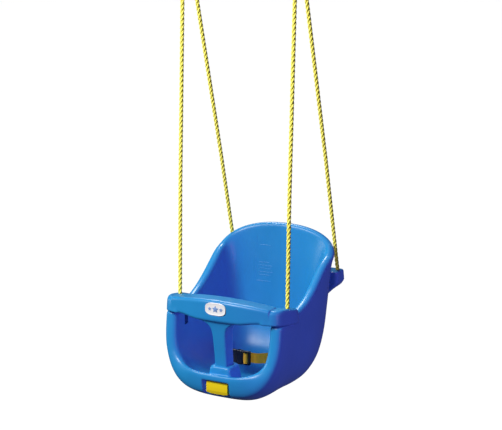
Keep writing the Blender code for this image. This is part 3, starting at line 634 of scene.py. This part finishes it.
def rope_start(side, front, below):
    """The point on a rope's line that lies 'below' under its hole's top."""
    up, _, _ = rope_direction(front)
    top = Vector((side * HOLE_X, 0, 0)) if front else Vector((side * HOLE_X, REAR_HOLE_Y, REAR_HOLE_Z))
    return top - up * below


def rear_lug(side):
    """A block around the rear rope's hole that fades into the wall below it."""
    # height under the lug's top, its reach out and back from the hole, its reach in and forward, corner
    levels = ((0.0, 0.014, 0.013, 0.033, 0.039, 0.009), (0.003, 0.016, 0.016, 0.034, 0.04, 0.01),
              (0.034, 0.0155, 0.015, 0.04, 0.046, 0.01), (0.046, 0.01, 0.0045, 0.042, 0.048, 0.009),
              (0.062, -0.009, -0.018, 0.044, 0.052, 0.006), (0.078, -0.023, -0.033, 0.046, 0.055, 0.004),
              (0.096, -0.037, -0.052, 0.049, 0.061, 0.003))
    rings = []
    for below, out_x, out_y, in_x, in_y, corner in levels:
        middle = rope_start(side, False, below) + Vector((side * (out_x - in_x) / 2, (out_y - in_y) / 2, 0))
        outline = rounded_outline((out_x + in_x) / 2, (out_y + in_y) / 2, corner)
        rings.append([middle + Vector((x, y, 0)) for x, y in outline])
    return loft("lug", rings)


def rope_pocket(side, front):
    """Cutters for a rope: its hole, and below it an open-sided pocket for its stop."""
    up, _, _ = rope_direction(front)
    roof = rope_start(side, front, STOP_DEPTH[front])
    floor = roof - up * POCKET_DEPTH
    hole = rod("hole", rope_start(side, front, -0.03), roof - up * 0.004, ROPE_HOLE_R)
    room = rod("room", roof, floor, POCKET_R)
    away = Vector((-side, 0, 0)) if front else Vector((0, 1, 0))
    half = (Vector((0, 1, 0)) if front else Vector((1, 0, 0))) * POCKET_R
    quads = []
    for middle in (roof, floor):
        near, far = middle - 0.001 * away, middle + 0.04 * away
        quads.append([near - half, far - half, far + half, near + half])
    join(room, loft("mouth", quads))
    return hole, room


def foot_rings(clearance, low, high):
    """The foot's outline at two heights, sheared along the direction in which the bar slides."""
    up, _, _ = rope_direction(True)
    rings = []
    for z in (low, high):
        middle_y = (FOOT_FRONT + FOOT_BACK) / 2 + up.y / up.z * (z - FOOT_TOP)
        outline = rounded_outline(FOOT_HALF_X + clearance, (FOOT_BACK - FOOT_FRONT) / 2 + clearance, 0.005)
        rings.append([Vector((x, middle_y + y, z)) for x, y in outline])
    return rings


def belt_height(x):
    return BELT_Z + BELT_RISE * max(abs(x) - 0.03, 0.0)


def pad_height(y):
    """The seats for the bar's ends fall towards the rear."""
    return PAD_Z - 0.123 * (y + 0.019)


def level_ring(z, half_x, front, back, corner):
    outline = rounded_outline(half_x, (back - front) / 2, corner)
    return [Vector((x, (front + back) / 2 + y, z)) for x, y in outline]


def seat_bucket():
    seat = bucket_shell()
    # z, half width, front, back
    boss = ((-0.24, 0.043, -0.078, -0.014), (-0.208, 0.0375, -0.078, -0.014),
            (-0.196, 0.0352, -0.0785, -0.0145), (-0.188, 0.0338, -0.079, -0.015),
            (-0.181, 0.0325, -0.0788, -0.0165), (-0.1755, 0.0305, -0.0775, -0.0185),
            (FOOT_TOP, 0.027, -0.0745, -0.0215))
    join(seat, loft("boss", [level_ring(*level, 0.008) for level in boss]))
    for side in (-1, 1):
        join(seat, rear_lug(side))
        join(seat, turned("anchor", [(0, 0.0165), (0.002, 0.018), (0.03, 0.0195)],
                          (side * ANCHOR_X, ANCHOR_Y, belt_height(ANCHOR_X)), (side, 0, 0)))
    near, far, above = -0.12, BAR_END_BACK + 0.0015, 0.03
    outline = ((near, pad_height(near)), (far, pad_height(far)), (far, above), (near, above))
    for side in (-1, 1):
        cut(seat, prism("pad", 0, side * 0.1, side * 0.23, outline))
    cut(seat, block("notch", (-NOTCH_HALF_X, -0.13, -0.3), (NOTCH_HALF_X, NOTCH_BACK, NOTCH_TOP)))
    soften(seat, 0.0021, 12, most_faces=180_000)
    tools = [loft("socket", foot_rings(SOCKET_CLEARANCE, FOOT_BOTTOM - 0.001, FOOT_TOP + 0.01)),
             block("window", (-0.0125, NOTCH_BACK - 0.003, TOOTH_BOTTOM - 0.0015),
                   (0.0125, FOOT_FRONT + 0.002, CATCH_TOP))]
    join(tools[0], tools.pop())
    for side in (-1, 1):
        for front in (True, False):
            tools += rope_pocket(side, front)
    edit = bmesh.new()
    edit.from_mesh(seat.data)
    back_ribs(BVHTree.FromBMesh(edit))
    edit.free()
    cut(seat, *tools)
    seat.data.shade_smooth()
    seat.data.set_sharp_from_angle(angle=radians(50))
    place(seat, "seat", "seat_plastic", "seat_bucket")


# ---- the front bar ----


def bar_section(x):
    """One slice of the bowed bar."""
    bow = (x / 0.155) ** 2
    front, back = -0.0985 + 0.02 * bow, -0.04 + 0.012 * bow
    top, bottom = 0.022 - 0.014 * bow, PAD_Z + 0.0008
    middle = ((front + back) / 2, (top + bottom) / 2)
    end = smooth_step((abs(x) - 0.06) / 0.065)
    points = []
    for y, z in rounded_outline((back - front) / 2, (top - bottom) / 2, 0.01, 8):
        at_y, at_z = middle[0] + y, middle[1] + z
        lift = end * (pad_height(at_y) - PAD_Z) * (top - at_z) / (top - bottom)
        points.append(Vector((x, at_y, at_z + lift)))
    return points


def bar_end(side):
    """The bar's end: a deep cap around the rope hole, wider at its foot and lower at its rear."""
    plan = [(0.128, -0.0835), (0.148, -0.0808), (0.162, -0.077), (0.1735, -0.068), (0.18, -0.054),
            (0.186, -0.025), (0.1905, 0.002), (0.1915, 0.022), (0.189, 0.035), (0.183, BAR_END_BACK),
            (0.16, BAR_END_BACK), (0.153, 0.038), (0.15, 0.026), (0.148, -0.005), (0.14, -0.024),
            (0.128, -0.029)]
    plan = through(plan, 64, closed=True)
    middle = Vector((0.161, -0.018))
    rings = []
    levels = ((0.0, 0.0022), (0.05, 0.0), (0.5, 0.0008), (0.8, 0.002), (0.94, 0.0045), (1.0, 0.0095))
    for height, inset in levels:
        ring = []
        for spot in plan:
            at = middle + (spot - middle) * (1 - inset / 0.035)
            top = 0.006 - 0.013 * smooth_step((at.y + 0.05) / 0.09)
            foot = pad_height(at.y) + GAP
            ring.append(Vector((side * at.x, min(at.y, BAR_END_BACK), foot + (top - foot) * height)))
        rings.append(ring)
    return loft("bar_end", rings)


def stem_rings():
    """The stem from the flare under the bar down to the top of its foot, and the foot."""
    # z, half width, front, back
    levels = [(-0.03, 0.066, -0.09, -0.034), (-0.0415, 0.053, -0.0885, -0.0345),
              (-0.049, 0.037, -0.087, -0.035), (-0.06, 0.026, -0.085, -0.0355),
              (-0.08, 0.0212, -0.0825, -0.035), (-0.13, 0.0195, -0.0755, -0.031),
              (FOOT_TOP + 0.0015, FOOT_HALF_X, FOOT_FRONT, FOOT_BACK)]
    fronts = through([(z, half, front) for z, half, front, _ in levels], 25)
    backs = through([(z, half, back) for z, half, _, back in levels], 25)
    low = foot_rings(0.0, FOOT_BOTTOM, FOOT_TOP + 0.001)
    return [level_ring(*front, back.z, 0.005) for front, back in zip(fronts, backs)] + [low[1], low[0]]


def badge_rings(half_x, half_z, levels):
    rounder = [(signed_power(cos(a), 0.62), signed_power(sin(a), 0.72)) for a in full_turn(96)]
    return [[Vector(((half_x + inset) * x, y, -0.002 + (half_z + inset) * z)) for x, z in rounder]
            for y, inset in levels]


def front_bar():
    stations = 61
    bar = loft("front_bar", [bar_section(-0.152 + 0.304 * k / (stations - 1)) for k in range(stations)], BLUE)
    join(bar, bar_end(-1), bar_end(1), loft("stem", stem_rings()))
    for side in (-1, 1):
        cut(bar, rod("hole", rope_start(side, True, 0.08), rope_start(side, True, -0.03), ROPE_HOLE_R))
    cut(bar, loft("recess", badge_rings(0.0324, 0.0182, ((-0.0956, 0), (-0.11, 0)))))
    cut(bar, block("catch", (-0.013, FOOT_FRONT - 0.004, TOOTH_BOTTOM - 0.0005),
                   (0.013, FOOT_FRONT + 0.0085, CATCH_TOP)))
    soften(bar, 0.0015, 9, 150_000)
    place(bar, "t_bar", "seat_plastic", "t_bar")


def star_points(outer):
    """The ten corners of a five-pointed star."""
    corners = []
    for k in range(10):
        a = pi / 2 + pi * k / 5
        size = outer * 0.52 if k % 2 else outer
        corners.append((size * cos(a), size * sin(a)))
    return corners


def front_badge():
    """An oval plate with a raised rim and three plain stars."""
    levels = ((-0.0959, 0.0), (-0.099, 0.0), (-0.0997, -0.0004), (-0.1, -0.0012), (-0.0998, -0.002),
              (-0.0992, -0.0026), (-0.0991, -0.0034))
    plate = loft("front_badge", badge_rings(0.0318, 0.0176, levels), WHITE, 60)
    plate.data.materials.append(EMBLEM)
    edit = bmesh.new()
    edit.from_mesh(plate.data)
    for centre_x, outer in ((0.0, 0.0105), (-0.0175, 0.006), (0.0175, 0.006)):
        corners = star_points(outer)
        rings = []
        for y, grow in ((-0.0985, 1.0), (-0.0996, 1.0), (-0.0999, 0.9)):
            rings.append([edit.verts.new((centre_x + x * grow, y, -0.002 + z * grow)) for x, z in corners])
        count = len(corners)
        made = [edit.faces.new(rings[-1]), edit.faces.new(rings[0][::-1])]
        for low, high in zip(rings, rings[1:]):
            for k in range(count):
                made.append(edit.faces.new((low[k], low[(k + 1) % count], high[(k + 1) % count], high[k])))
        for face in made:
            face.material_index = 1
    bmesh.ops.recalc_face_normals(edit, faces=edit.faces)
    edit.to_mesh(plate.data)
    edit.free()
    plate.data.set_sharp_from_angle(angle=radians(40))
    place(plate, "t_bar", "badge_plastic", "badge")


# ---- the latch ----


def front_latch():
    """A yellow plate, slightly crowned, hinged on its pin, with a tooth behind it."""
    profile = [(-0.0932, -0.211), (-0.0942, -0.22), (-0.0945, -0.229), (-0.0942, -0.238),
               (-0.0915, -0.2475), (-0.0855, -0.2495), (-0.0805, -0.247), (-0.08, -0.24),
               (-0.0865, -0.233), (-0.0865, -0.211)]
    rings = []
    stations = 17
    for k in range(stations):
        x = LATCH_HALF_X * (-1 + 2 * k / (stations - 1))
        crown = 0.0007 * (x / LATCH_HALF_X) ** 2
        rings.append([Vector((x, y + (crown if y < -0.09 else 0.0), z)) for y, z in profile])
    plate = loft("front_latch", rings, YELLOW)
    tooth = [(-0.087, TOOTH_BOTTOM), (-0.087, TOOTH_BOTTOM + 0.0062), (-0.064, TOOTH_BOTTOM + 0.0062),
             (-0.0645, TOOTH_BOTTOM + 0.002), (-0.068, TOOTH_BOTTOM)]
    join(plate, prism("tooth", 0, -0.011, 0.011, tooth))
    pin_ends = [(x, LATCH_PIN_Y, LATCH_PIN_Z) for x in (-0.05, 0.05)]
    cut(plate, rod("hole", *pin_ends, LATCH_PIN_R + GAP))
    for side in (-1, 1):
        outer, inner = side * 0.035, side * 0.01
        corner = [(outer, -0.252), (outer, -0.2445), (inner, -0.25), (inner, -0.252)]
        cut(plate, prism("corner", 1, -0.1, -0.07, corner))
    cut(plate, block("spring_room", (-0.026, -0.0902, -0.26), (-0.012, -0.07, -0.232)))
    soften(plate, 0.0006, 6)
    place(plate, "latch", "latch_plastic", "latch")


def latch_pin():
    half, r = 0.0485, LATCH_PIN_R
    pin = turned("hinge_pin", [(0, r - 0.0004), (0.0004, r), (2 * half - 0.0004, r), (2 * half, r - 0.0004)],
                 (-half, LATCH_PIN_Y, LATCH_PIN_Z), (1, 0, 0), STEEL, 32)
    place(pin, "seat", "steel", "latch_pin")


def latch_spring():
    """A torsion spring around the pin."""
    radius = LATCH_PIN_R + 0.001
    turns, steps = 4, 24
    points = [Vector((-0.0235, -0.0832, -0.225)), Vector((-0.0235, -0.0828, -0.233))]
    for k in range(turns * steps + 1):
        a = 2 * pi * k / steps
        x = -0.0235 + 0.009 * k / (turns * steps)
        points.append(Vector((x, LATCH_PIN_Y + radius * cos(a), LATCH_PIN_Z - radius * sin(a))))
    points += [Vector((-0.0145, -0.0818, -0.237)), Vector((-0.0145, -0.0802, -0.231))]
    place(tube("torsion_spring", points, 0.0005, STEEL, 12), "seat", "steel", "latch_spring")


# ---- the belt ----


def strap_path(buckle):
    """From the screw on the wall, forward and across, and around the buckle's bars, in plan."""
    flat = ANCHOR_X - WEB_THICK / 2 - GAP
    y = BELT_Y
    knots = [(flat, ANCHOR_Y - 0.0095), (flat - 0.0012, ANCHOR_Y - 0.018), (flat - 0.006, ANCHOR_Y - 0.032),
             (flat - 0.018, ANCHOR_Y - 0.052), (flat - 0.038, ANCHOR_Y - 0.08), (flat - 0.06, y + 0.027),
             (buckle + 0.044, y + 0.012), (buckle + 0.031, y + 0.0086)]
    smooth = [(flat, ANCHOR_Y + 0.012), (flat, ANCHOR_Y + 0.002), *through(knots, 60)]
    wrap = [(0.027, 0.0083), (0.0222, 0.0075), (0.0195, 0.0035), (0.0186, -0.003), (0.0162, -0.0072),
            (0.012, -0.008), (0.0085, -0.007), (0.0068, -0.003), (0.0066, 0.006), (0.0085, 0.0082),
            (0.0135, 0.0086)]
    return smooth + [(buckle + p.x, y + p.y) for p in through(wrap, 44)]


def webbing(name, path, side):
    """Woven webbing on edge: thin rounded edges, and a measure in millimetres for its weave."""
    line = [Vector(p) for p in path]
    steps = 10
    # heights over the width and thicknesses, up one face and down the other
    section = []
    for k in range(steps + 1):
        t = -1 + 2 * k / steps
        section.append((t * WEB_WIDTH / 2, WEB_THICK / 2 * (1 - 0.55 * abs(t) ** 6)))
    section += [(w, -half) for w, half in reversed(section)]
    rings, travelled, lengths = [], 0.0, []
    for k, point in enumerate(line):
        if k:
            travelled += (point - line[k - 1]).length
        lengths.append(travelled * 1000)
        along = slope(line, k).normalized()
        normal = Vector((-along.y, along.x))
        ring = []
        for w, off in section:
            at = point + normal * off
            ring.append((side * at.x, at.y, belt_height(point.x) + w))
        rings.append(ring)
    strip = loft(name, rings, WEBBING, 60)
    uv = strip.data.uv_layers.new(name="UVMap")
    for loop in strip.data.loops:
        k, i = divmod(loop.vertex_index, len(section))
        uv.data[loop.index].uv = (lengths[k], section[i][0] * 1000)
    return strip


def stitches(name, side):
    """Two rows of thread across the strap beside its screw."""
    flat = ANCHOR_X - WEB_THICK - 0.0005
    half, length, spacing = 0.00035, 0.0022, 0.0032
    section = ((0, 1), (0.7, 0.7), (1, 0), (0.7, -0.7), (0, -1))
    points, faces = [], []
    for y in (ANCHOR_Y - 0.0098, ANCHOR_Y - 0.0125):
        for k in range(8):
            middle = belt_height(ANCHOR_X) - 3.5 * spacing + spacing * k
            faces += ring_faces(2, len(section), len(points))
            for z in (middle - length / 2, middle + length / 2):
                points += [(side * (flat - half * out), y - half * across, z) for out, across in section]
    return mesh_piece(name, points, faces, THREAD)


def plate(name, side, near, far, half_y, half_z, surface=None, bevel=0.0):
    """A block of the buckle from near to far off its parting line, on one side of it."""
    low_x, high_x = sorted((BUCKLE_X + side * near, BUCKLE_X + side * far))
    return block(name, (low_x, BELT_Y - half_y, BELT_Z - half_z), (high_x, BELT_Y + half_y, BELT_Z + half_z),
                 surface, bevel)


def cut_slots(piece, side, start):
    for near, far in ((0.0045, 0.0088), (0.0162, 0.0226)):
        cut(piece, plate("slot", side, start + near, start + far, 0.02, 0.0162))


def buckle_socket():
    socket = plate("belt_buckle_socket", 1, SOCKET_CASE - 0.001, SOCKET_CASE + 0.026, 0.0055, 0.0204,
                   BLACK, 0.0015)
    cut_slots(socket, 1, SOCKET_CASE)
    join(socket, plate("case", 1, 0.0002, SOCKET_CASE + 0.002, 0.007, 0.021, None, 0.002))
    cut(socket, plate("room", 1, -0.005, SOCKET_CASE - 0.0015, 0.004, 0.0175))
    cut(socket, plate("windows", 1, 0.003, SOCKET_CASE - 0.004, 0.004, 0.03))
    # finger ridges over the case
    for sign in (-1, 1):
        for k in range(3):
            x = BUCKLE_X + 0.0045 + 0.0035 * k
            cut(socket, block("ridge", (x, BELT_Y + sign * 0.0072 - 0.0006, BELT_Z - 0.012),
                              (x + 0.0014, BELT_Y + sign * 0.0072 + 0.0006, BELT_Z + 0.012)))
    soften(socket, 0.00045, 4)
    place(socket, "seat", "buckle_plastic", "buckle_socket")


def buckle_plug():
    plug = plate("belt_buckle_plug", -1, 0.0002, PLUG_BODY + 0.026, 0.0055, 0.0204, BLACK, 0.0015)
    cut_slots(plug, -1, PLUG_BODY)
    join(plug, plate("guide", 1, -0.003, SOCKET_CASE - 0.004, 0.0022, 0.003))
    for sign in (-1, 1):
        for near, far, low, high in ((-0.003, 0.0108, 0.011, 0.0145), (0.0045, 0.0105, 0.014, 0.017)):
            low_z, high_z = sorted((BELT_Z + sign * low, BELT_Z + sign * high))
            join(plug, block("arm", (BUCKLE_X + near, BELT_Y - 0.0032, low_z),
                             (BUCKLE_X + far, BELT_Y + 0.0032, high_z)))
    soften(plug, 0.00045, 4)
    place(plug, "buckle_plug", "buckle_plastic", "buckle_plug")


def belt_screw(side, word):
    """A pan head with a cross recess over a washer."""
    y, z = ANCHOR_Y, belt_height(ANCHOR_X)
    face = ANCHOR_X - WEB_THICK - 2 * GAP
    washer = turned(f"washer_{word}", [(0, 0.0083), (0.0002, 0.0085), (0.001, 0.0085), (0.0012, 0.0082)],
                    (side * face, y, z), (-side, 0, 0), STEEL)
    cut(washer, rod("hole", (side * (face + 0.01), y, z), (side * (face - 0.01), y, z), 0.0025))
    head = face - 0.0012 - GAP
    profile = [(0.0, 0.0022), (0.0002, 0.0032), (0.0006, 0.0044), (0.0012, 0.0052), (0.0019, 0.0056),
               (0.0026, 0.0056), (0.00261, 0.0021), (0.0155, 0.0021), (0.0168, 0.0008)]
    screw = turned(f"screw_{word}", profile, (side * (head - 0.0026), y, z), (side, 0, 0), STEEL)
    near, far = sorted((side * (head - 0.006), side * (head - 0.001)))
    for half_y, half_z in ((0.0026, 0.0005), (0.0005, 0.0026)):
        cut(screw, block("cross", (near, y - half_y, z - half_z), (far, y + half_y, z + half_z)))
    screw.data.set_sharp_from_angle(angle=radians(30))
    place(washer, "seat", "steel", f"belt_washer_{word}")
    place(screw, "seat", "steel", f"belt_screw_{word}")


# ---- ropes and rings ----


def rope_route(side, front):
    """The rope's centre line, as in the CAD: up from its stop, once around the ring's bar, and down."""
    up, inward, length = rope_direction(front)
    below = STOP_DEPTH[front] - GAP
    start = rope_start(side, front, below)
    aside = EYE_ASIDE[front]
    straight = length + below
    # the rope leans sideways between these two heights above its start, to make room for the other's eye
    low, high = 0.36, straight - 0.1
    steps = 30
    points = []
    for i in range(steps):
        along = straight * i / steps
        drift = min(max((along - low) / (high - low), 0.0), 1.0)
        points.append(start + up * along + Vector((aside * drift, 0, 0)))
    bar = start + up * straight + inward * EYE_R + Vector((aside, 0, 0))
    for i in range(11):
        a = pi * i / 10
        points.append(bar - inward * EYE_R * cos(a) + up * EYE_R * sin(a))
    near = TAIL_SPACING - EYE_R
    tail_top = FERRULE_DROP - FERRULE_LENGTH / 2
    tail_end = FERRULE_DROP + FERRULE_LENGTH / 2 + 0.012
    for along, off in ((0.01, EYE_R - 0.0008), (0.022, EYE_R - 0.0036), (0.035, near + 0.0016),
                       (tail_top, near), (FERRULE_DROP, near), (tail_end, near)):
        points.append(bar - up * along + inward * off)
    return points


def twisted_rope(side, front, spot):
    """Three-strand rope along its route, as one solid whose section turns as it goes."""
    route = rope_route(side, front)
    length = sum((b - a).length for a, b in zip(route, route[1:]))
    pitch = 0.042
    count = int(length / pitch * (15))
    points = through(route, count)
    travelled = 0.0
    sides = 30
    strand, reach = ROPE_R * 0.56, ROPE_R * 0.44
    rings, groove_shade_mask, uvs = [], [], []
    for k, (point, (across, other)) in enumerate(zip(points, carried(points))):
        if k:
            travelled += (point - points[k - 1]).length
        twist = 2 * pi * travelled / pitch
        to_end = min(k, count - 1 - k) / 3
        size = 1.0 if to_end >= 1 else 0.82 + 0.18 * to_end
        ring = []
        for i in range(sides):
            a = 2 * pi * i / sides
            # the outer envelope of three circles set around the middle
            off = (a + pi / 3) % (2 * pi / 3) - pi / 3
            r = reach * cos(off) + (max(strand**2 - (reach * sin(off)) ** 2, 0.0)) ** 0.5
            b = a + twist
            ring.append(point + (across * cos(b) + other * sin(b)) * r * size)
            # how far each point stands out of the grooves: it sets the painted groove shade in the rope's
            # material
            groove_shade_mask.append(max(0.0, (r / ROPE_R - 0.7) / 0.3))
            uvs.append((a / (2 * pi) * 3, travelled / 0.01))
        rings.append(ring)
    rope = loft(f"twisted_rope_{spot}", rings, ROPE, 70)
    rope.data.attributes.new("crown", "FLOAT", "POINT").data.foreach_set("value", groove_shade_mask)
    uv = rope.data.uv_layers.new(name="UVMap")
    for polygon in rope.data.polygons:
        own = [uvs[v] for v in polygon.vertices]
        wraps = max(u for u, _ in own) - min(u for u, _ in own) > 1.5
        for loop, (u, v) in zip(polygon.loop_indices, own):
            uv.data[loop].uv = (u + 3 if wraps and u < 1.5 else u, v)
    place(rope, "seat", "rope", f"rope_{spot}")


def rope_stop(side, front, spot):
    up, _, _ = rope_direction(front)
    start = rope_start(side, front, STOP_DEPTH[front] + GAP)
    full, end = STOP_R, STOP_LENGTH
    profile = [(0.0, 0.0072), (0.0006, 0.0078), (0.0018, full - 0.0004), (0.0026, full), (0.006, full),
               (0.0066, full - 0.0008), (0.0074, full - 0.0008), (0.008, full), (0.0112, full),
               (0.0122, full - 0.0003), (end - 0.0035, 0.0085), (end - 0.0008, 0.0074), (end, 0.0066)]
    stop = turned(f"rope_end_stop_{spot}", profile, start, -up, BLACK)
    place(stop, "seat", "stop_plastic", f"rope_stop_{spot}")


def rope_ferrule(side, front, spot):
    """An oval sleeve pressed over the rope and its tail, with three press marks."""
    up, inward, length = rope_direction(front)
    top = rope_start(side, front, 0.0) + up * length + Vector((EYE_ASIDE[front], 0, 0))
    middle = top + inward * (TAIL_SPACING / 2) - up * FERRULE_DROP
    half = FERRULE_LENGTH / 2
    steps, sides = 30, 40
    rings = []
    for k in range(steps + 1):
        t = -1 + 2 * k / steps
        press = sum(max(0.0, 1 - ((t - c) / 0.13) ** 2) for c in (-0.55, 0.0, 0.55))
        size = 0.0078 - 0.0007 * press
        if k in (0, steps):
            size -= 0.0007
        ring = []
        for i in range(sides):
            a = 2 * pi * (i + 0.5) / sides
            shift = TAIL_SPACING / 2 * (1 if sin(a) > 0 else -1)
            ring.append(middle + up * half * t + Vector((size * cos(a), 0, 0))
                        + inward * (size * sin(a) + shift))
        rings.append(ring)
    place(loft(f"pressed_ferrule_{spot}", rings, STEEL, 50), "seat", "steel", f"rope_ferrule_{spot}")


def hanging_ring(side, word):
    """A D-ring, drawn in the row frame."""
    def corner(sign, start, k):
        a = start + radians(100) * k / 4
        return (sign * RING_BAR_HALF + RING_CORNER * cos(a), -RING_DROP + RING_CORNER + RING_CORNER * sin(a))

    points = [(-RING_BAR_HALF + 2 * RING_BAR_HALF * k / 8, -RING_DROP) for k in range(9)]
    points += [corner(1, -pi / 2, k) for k in range(1, 5)]
    base = -RING_DROP + RING_CORNER * 1.2
    half = RING_BAR_HALF + RING_CORNER
    for k in range(1, 20):
        a = pi * k / 20
        points.append((half * signed_power(cos(a), 0.8), base + (RING_WIRE_R - base) * sin(a) ** 0.9))
    points += [corner(-1, pi - radians(10), k) for k in range(4)]
    line = through([(side * HOLE_X + x, 0, z) for x, z in points], 160, closed=True)
    ring = tube(f"hanging_ring_{word}", line, RING_WIRE_R, STEEL, 28, closed=True)
    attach(ring, "rings")
    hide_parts(f"ring_{word}")


# ---- build ----

SIDES = ((-1, "left"), (1, "right"))
for side, word in SIDES:
    for front, end in ((True, "front"), (False, "rear")):
        for make in (twisted_rope, rope_stop, rope_ferrule):
            make(side, front, f"{end}_{word}")
    hanging_ring(side, word)
    belt_screw(side, word)
seat_bucket()
front_bar()
front_badge()
front_latch()
latch_pin()
latch_spring()
right = webbing("belt_webbing_right", strap_path(BUCKLE_X + SOCKET_CASE), 1)
place(right, "seat", "webbing", "belt_strap_right")
left = webbing("belt_webbing_left", strap_path(-BUCKLE_X + PLUG_BODY), -1)
left.data.transform(SEAT)
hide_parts("belt_strap_left")
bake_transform(left)
for side, word in SIDES:
    place(stitches(f"belt_stitching_{word}", side), "seat", "webbing")
buckle_socket()
buckle_plug()

# ---- camera, floor and light ----

# the camera's turn about the seat, its rise over it, and where the seat's origin lies from it
AZIMUTH, RISE = radians(27.7), radians(11.9)
FORWARD = Vector((-sin(AZIMUTH) * cos(RISE), cos(AZIMUTH) * cos(RISE), -sin(RISE)))
RIGHT = Vector((cos(AZIMUTH), sin(AZIMUTH), 0))
UP = Vector((-sin(AZIMUTH) * sin(RISE), cos(AZIMUTH) * sin(RISE), cos(RISE)))
EYE = RIGHT * 0.0512 + UP * 0.237 - FORWARD * 3.62
lens = bpy.data.cameras.new("camera")
lens.sensor_width = 36.0
lens.lens = 93.2
camera = new_object("camera", lens)
turn = Matrix((RIGHT, UP, -FORWARD)).transposed().to_4x4()
camera.matrix_world = SEAT @ Matrix.Translation(EYE) @ turn
bpy.context.scene.camera = camera

FLOOR_Z = cad_low.z - 0.36
FLOOR_R = 14
CENTRE = Vector((0.0, 0.0, -1.18))


def pale_floor():
    """A disc that looks plain white and casts no light on the swing."""
    white = Graph(bpy.data.materials.new("pale_floor")).finish(
        Base_Color=(0.02, 0.02, 0.02, 1), Roughness=0.9,
        Emission_Color=(1.0, 1.0, 1.0, 1), Emission_Strength=1.0)
    rim = [(FLOOR_R * cos(a), FLOOR_R * sin(a), FLOOR_Z) for a in full_turn(96)]
    floor = mesh_piece("floor", rim, [tuple(range(len(rim)))], white)
    floor.visible_diffuse = False
    floor.visible_glossy = False


def area_light(name, offset, size, power, colour):
    """A square light at an offset from the bucket's middle, aimed at it."""
    data = bpy.data.lights.new(name, "AREA")
    data.shape = "SQUARE"
    data.size = size
    data.energy = power
    data.color = colour
    light = new_object(name, data)
    light.location = CENTRE + Vector(offset)
    light.rotation_euler = (CENTRE - light.location).to_track_quat("-Z", "Y").to_euler()
    return light


def fill_light(name, offset, size, power, colour, *surfaces):
    """A light without highlights or shadows that falls only on pieces of the given materials."""
    light = area_light(name, offset, size, power, colour)
    light.visible_glossy = light.visible_camera = light.data.use_shadow = False
    lit = bpy.data.collections.new(name)
    for piece in bpy.context.scene.objects:
        if piece.type == "MESH" and piece.data.materials and piece.data.materials[0] in surfaces:
            lit.objects.link(piece)
    light.light_linking.receiver_collection = lit


def world_light(colour, strength):
    """The camera sees plain white around the floor; the object gets a dim tinted fill."""
    world = bpy.data.worlds.new("world")
    bpy.context.scene.world = world
    graph = Graph(world)
    fill, white = graph.nodes["Background"], graph.nodes.new("ShaderNodeBackground")
    graph.feed(fill, Color=(*colour, 1), Strength=strength)
    graph.feed(white, Color=(1, 1, 1, 1), Strength=1.0)
    mix = graph.nodes.new("ShaderNodeMixShader")
    graph.feed(mix, Fac=graph.nodes.new("ShaderNodeLightPath").outputs["Is Camera Ray"])
    graph.links.new(fill.outputs["Background"], mix.inputs[1])
    graph.links.new(white.outputs["Background"], mix.inputs[2])
    graph.feed(graph.nodes["World Output"], Surface=mix.outputs["Shader"])


pale_floor()
world_light((0.72, 0.66, 1.0), 0.09)
area_light("key", (-1.0, -2.7, 2.7), 1.3, 172, (1.0, 1.0, 0.97))
area_light("left", (-3.4, -1.0, 0.7), 1.5, 32, (0.95, 0.98, 1.0))
area_light("top", (-1.5, 1.9, 2.7), 0.8, 75, (1.0, 1.0, 1.0))
fill_light("violet", (3.3, -0.9, 0.5), 2.0, 165, (1.0, 0.08, 0.34), BLUE)
fill_light("front", (-0.6, -3.0, 0.6), 1.5, 33, (1.0, 0.8, 0.7), ROPE, WEBBING)
bpy.context.scene.view_settings.view_transform = "Standard"
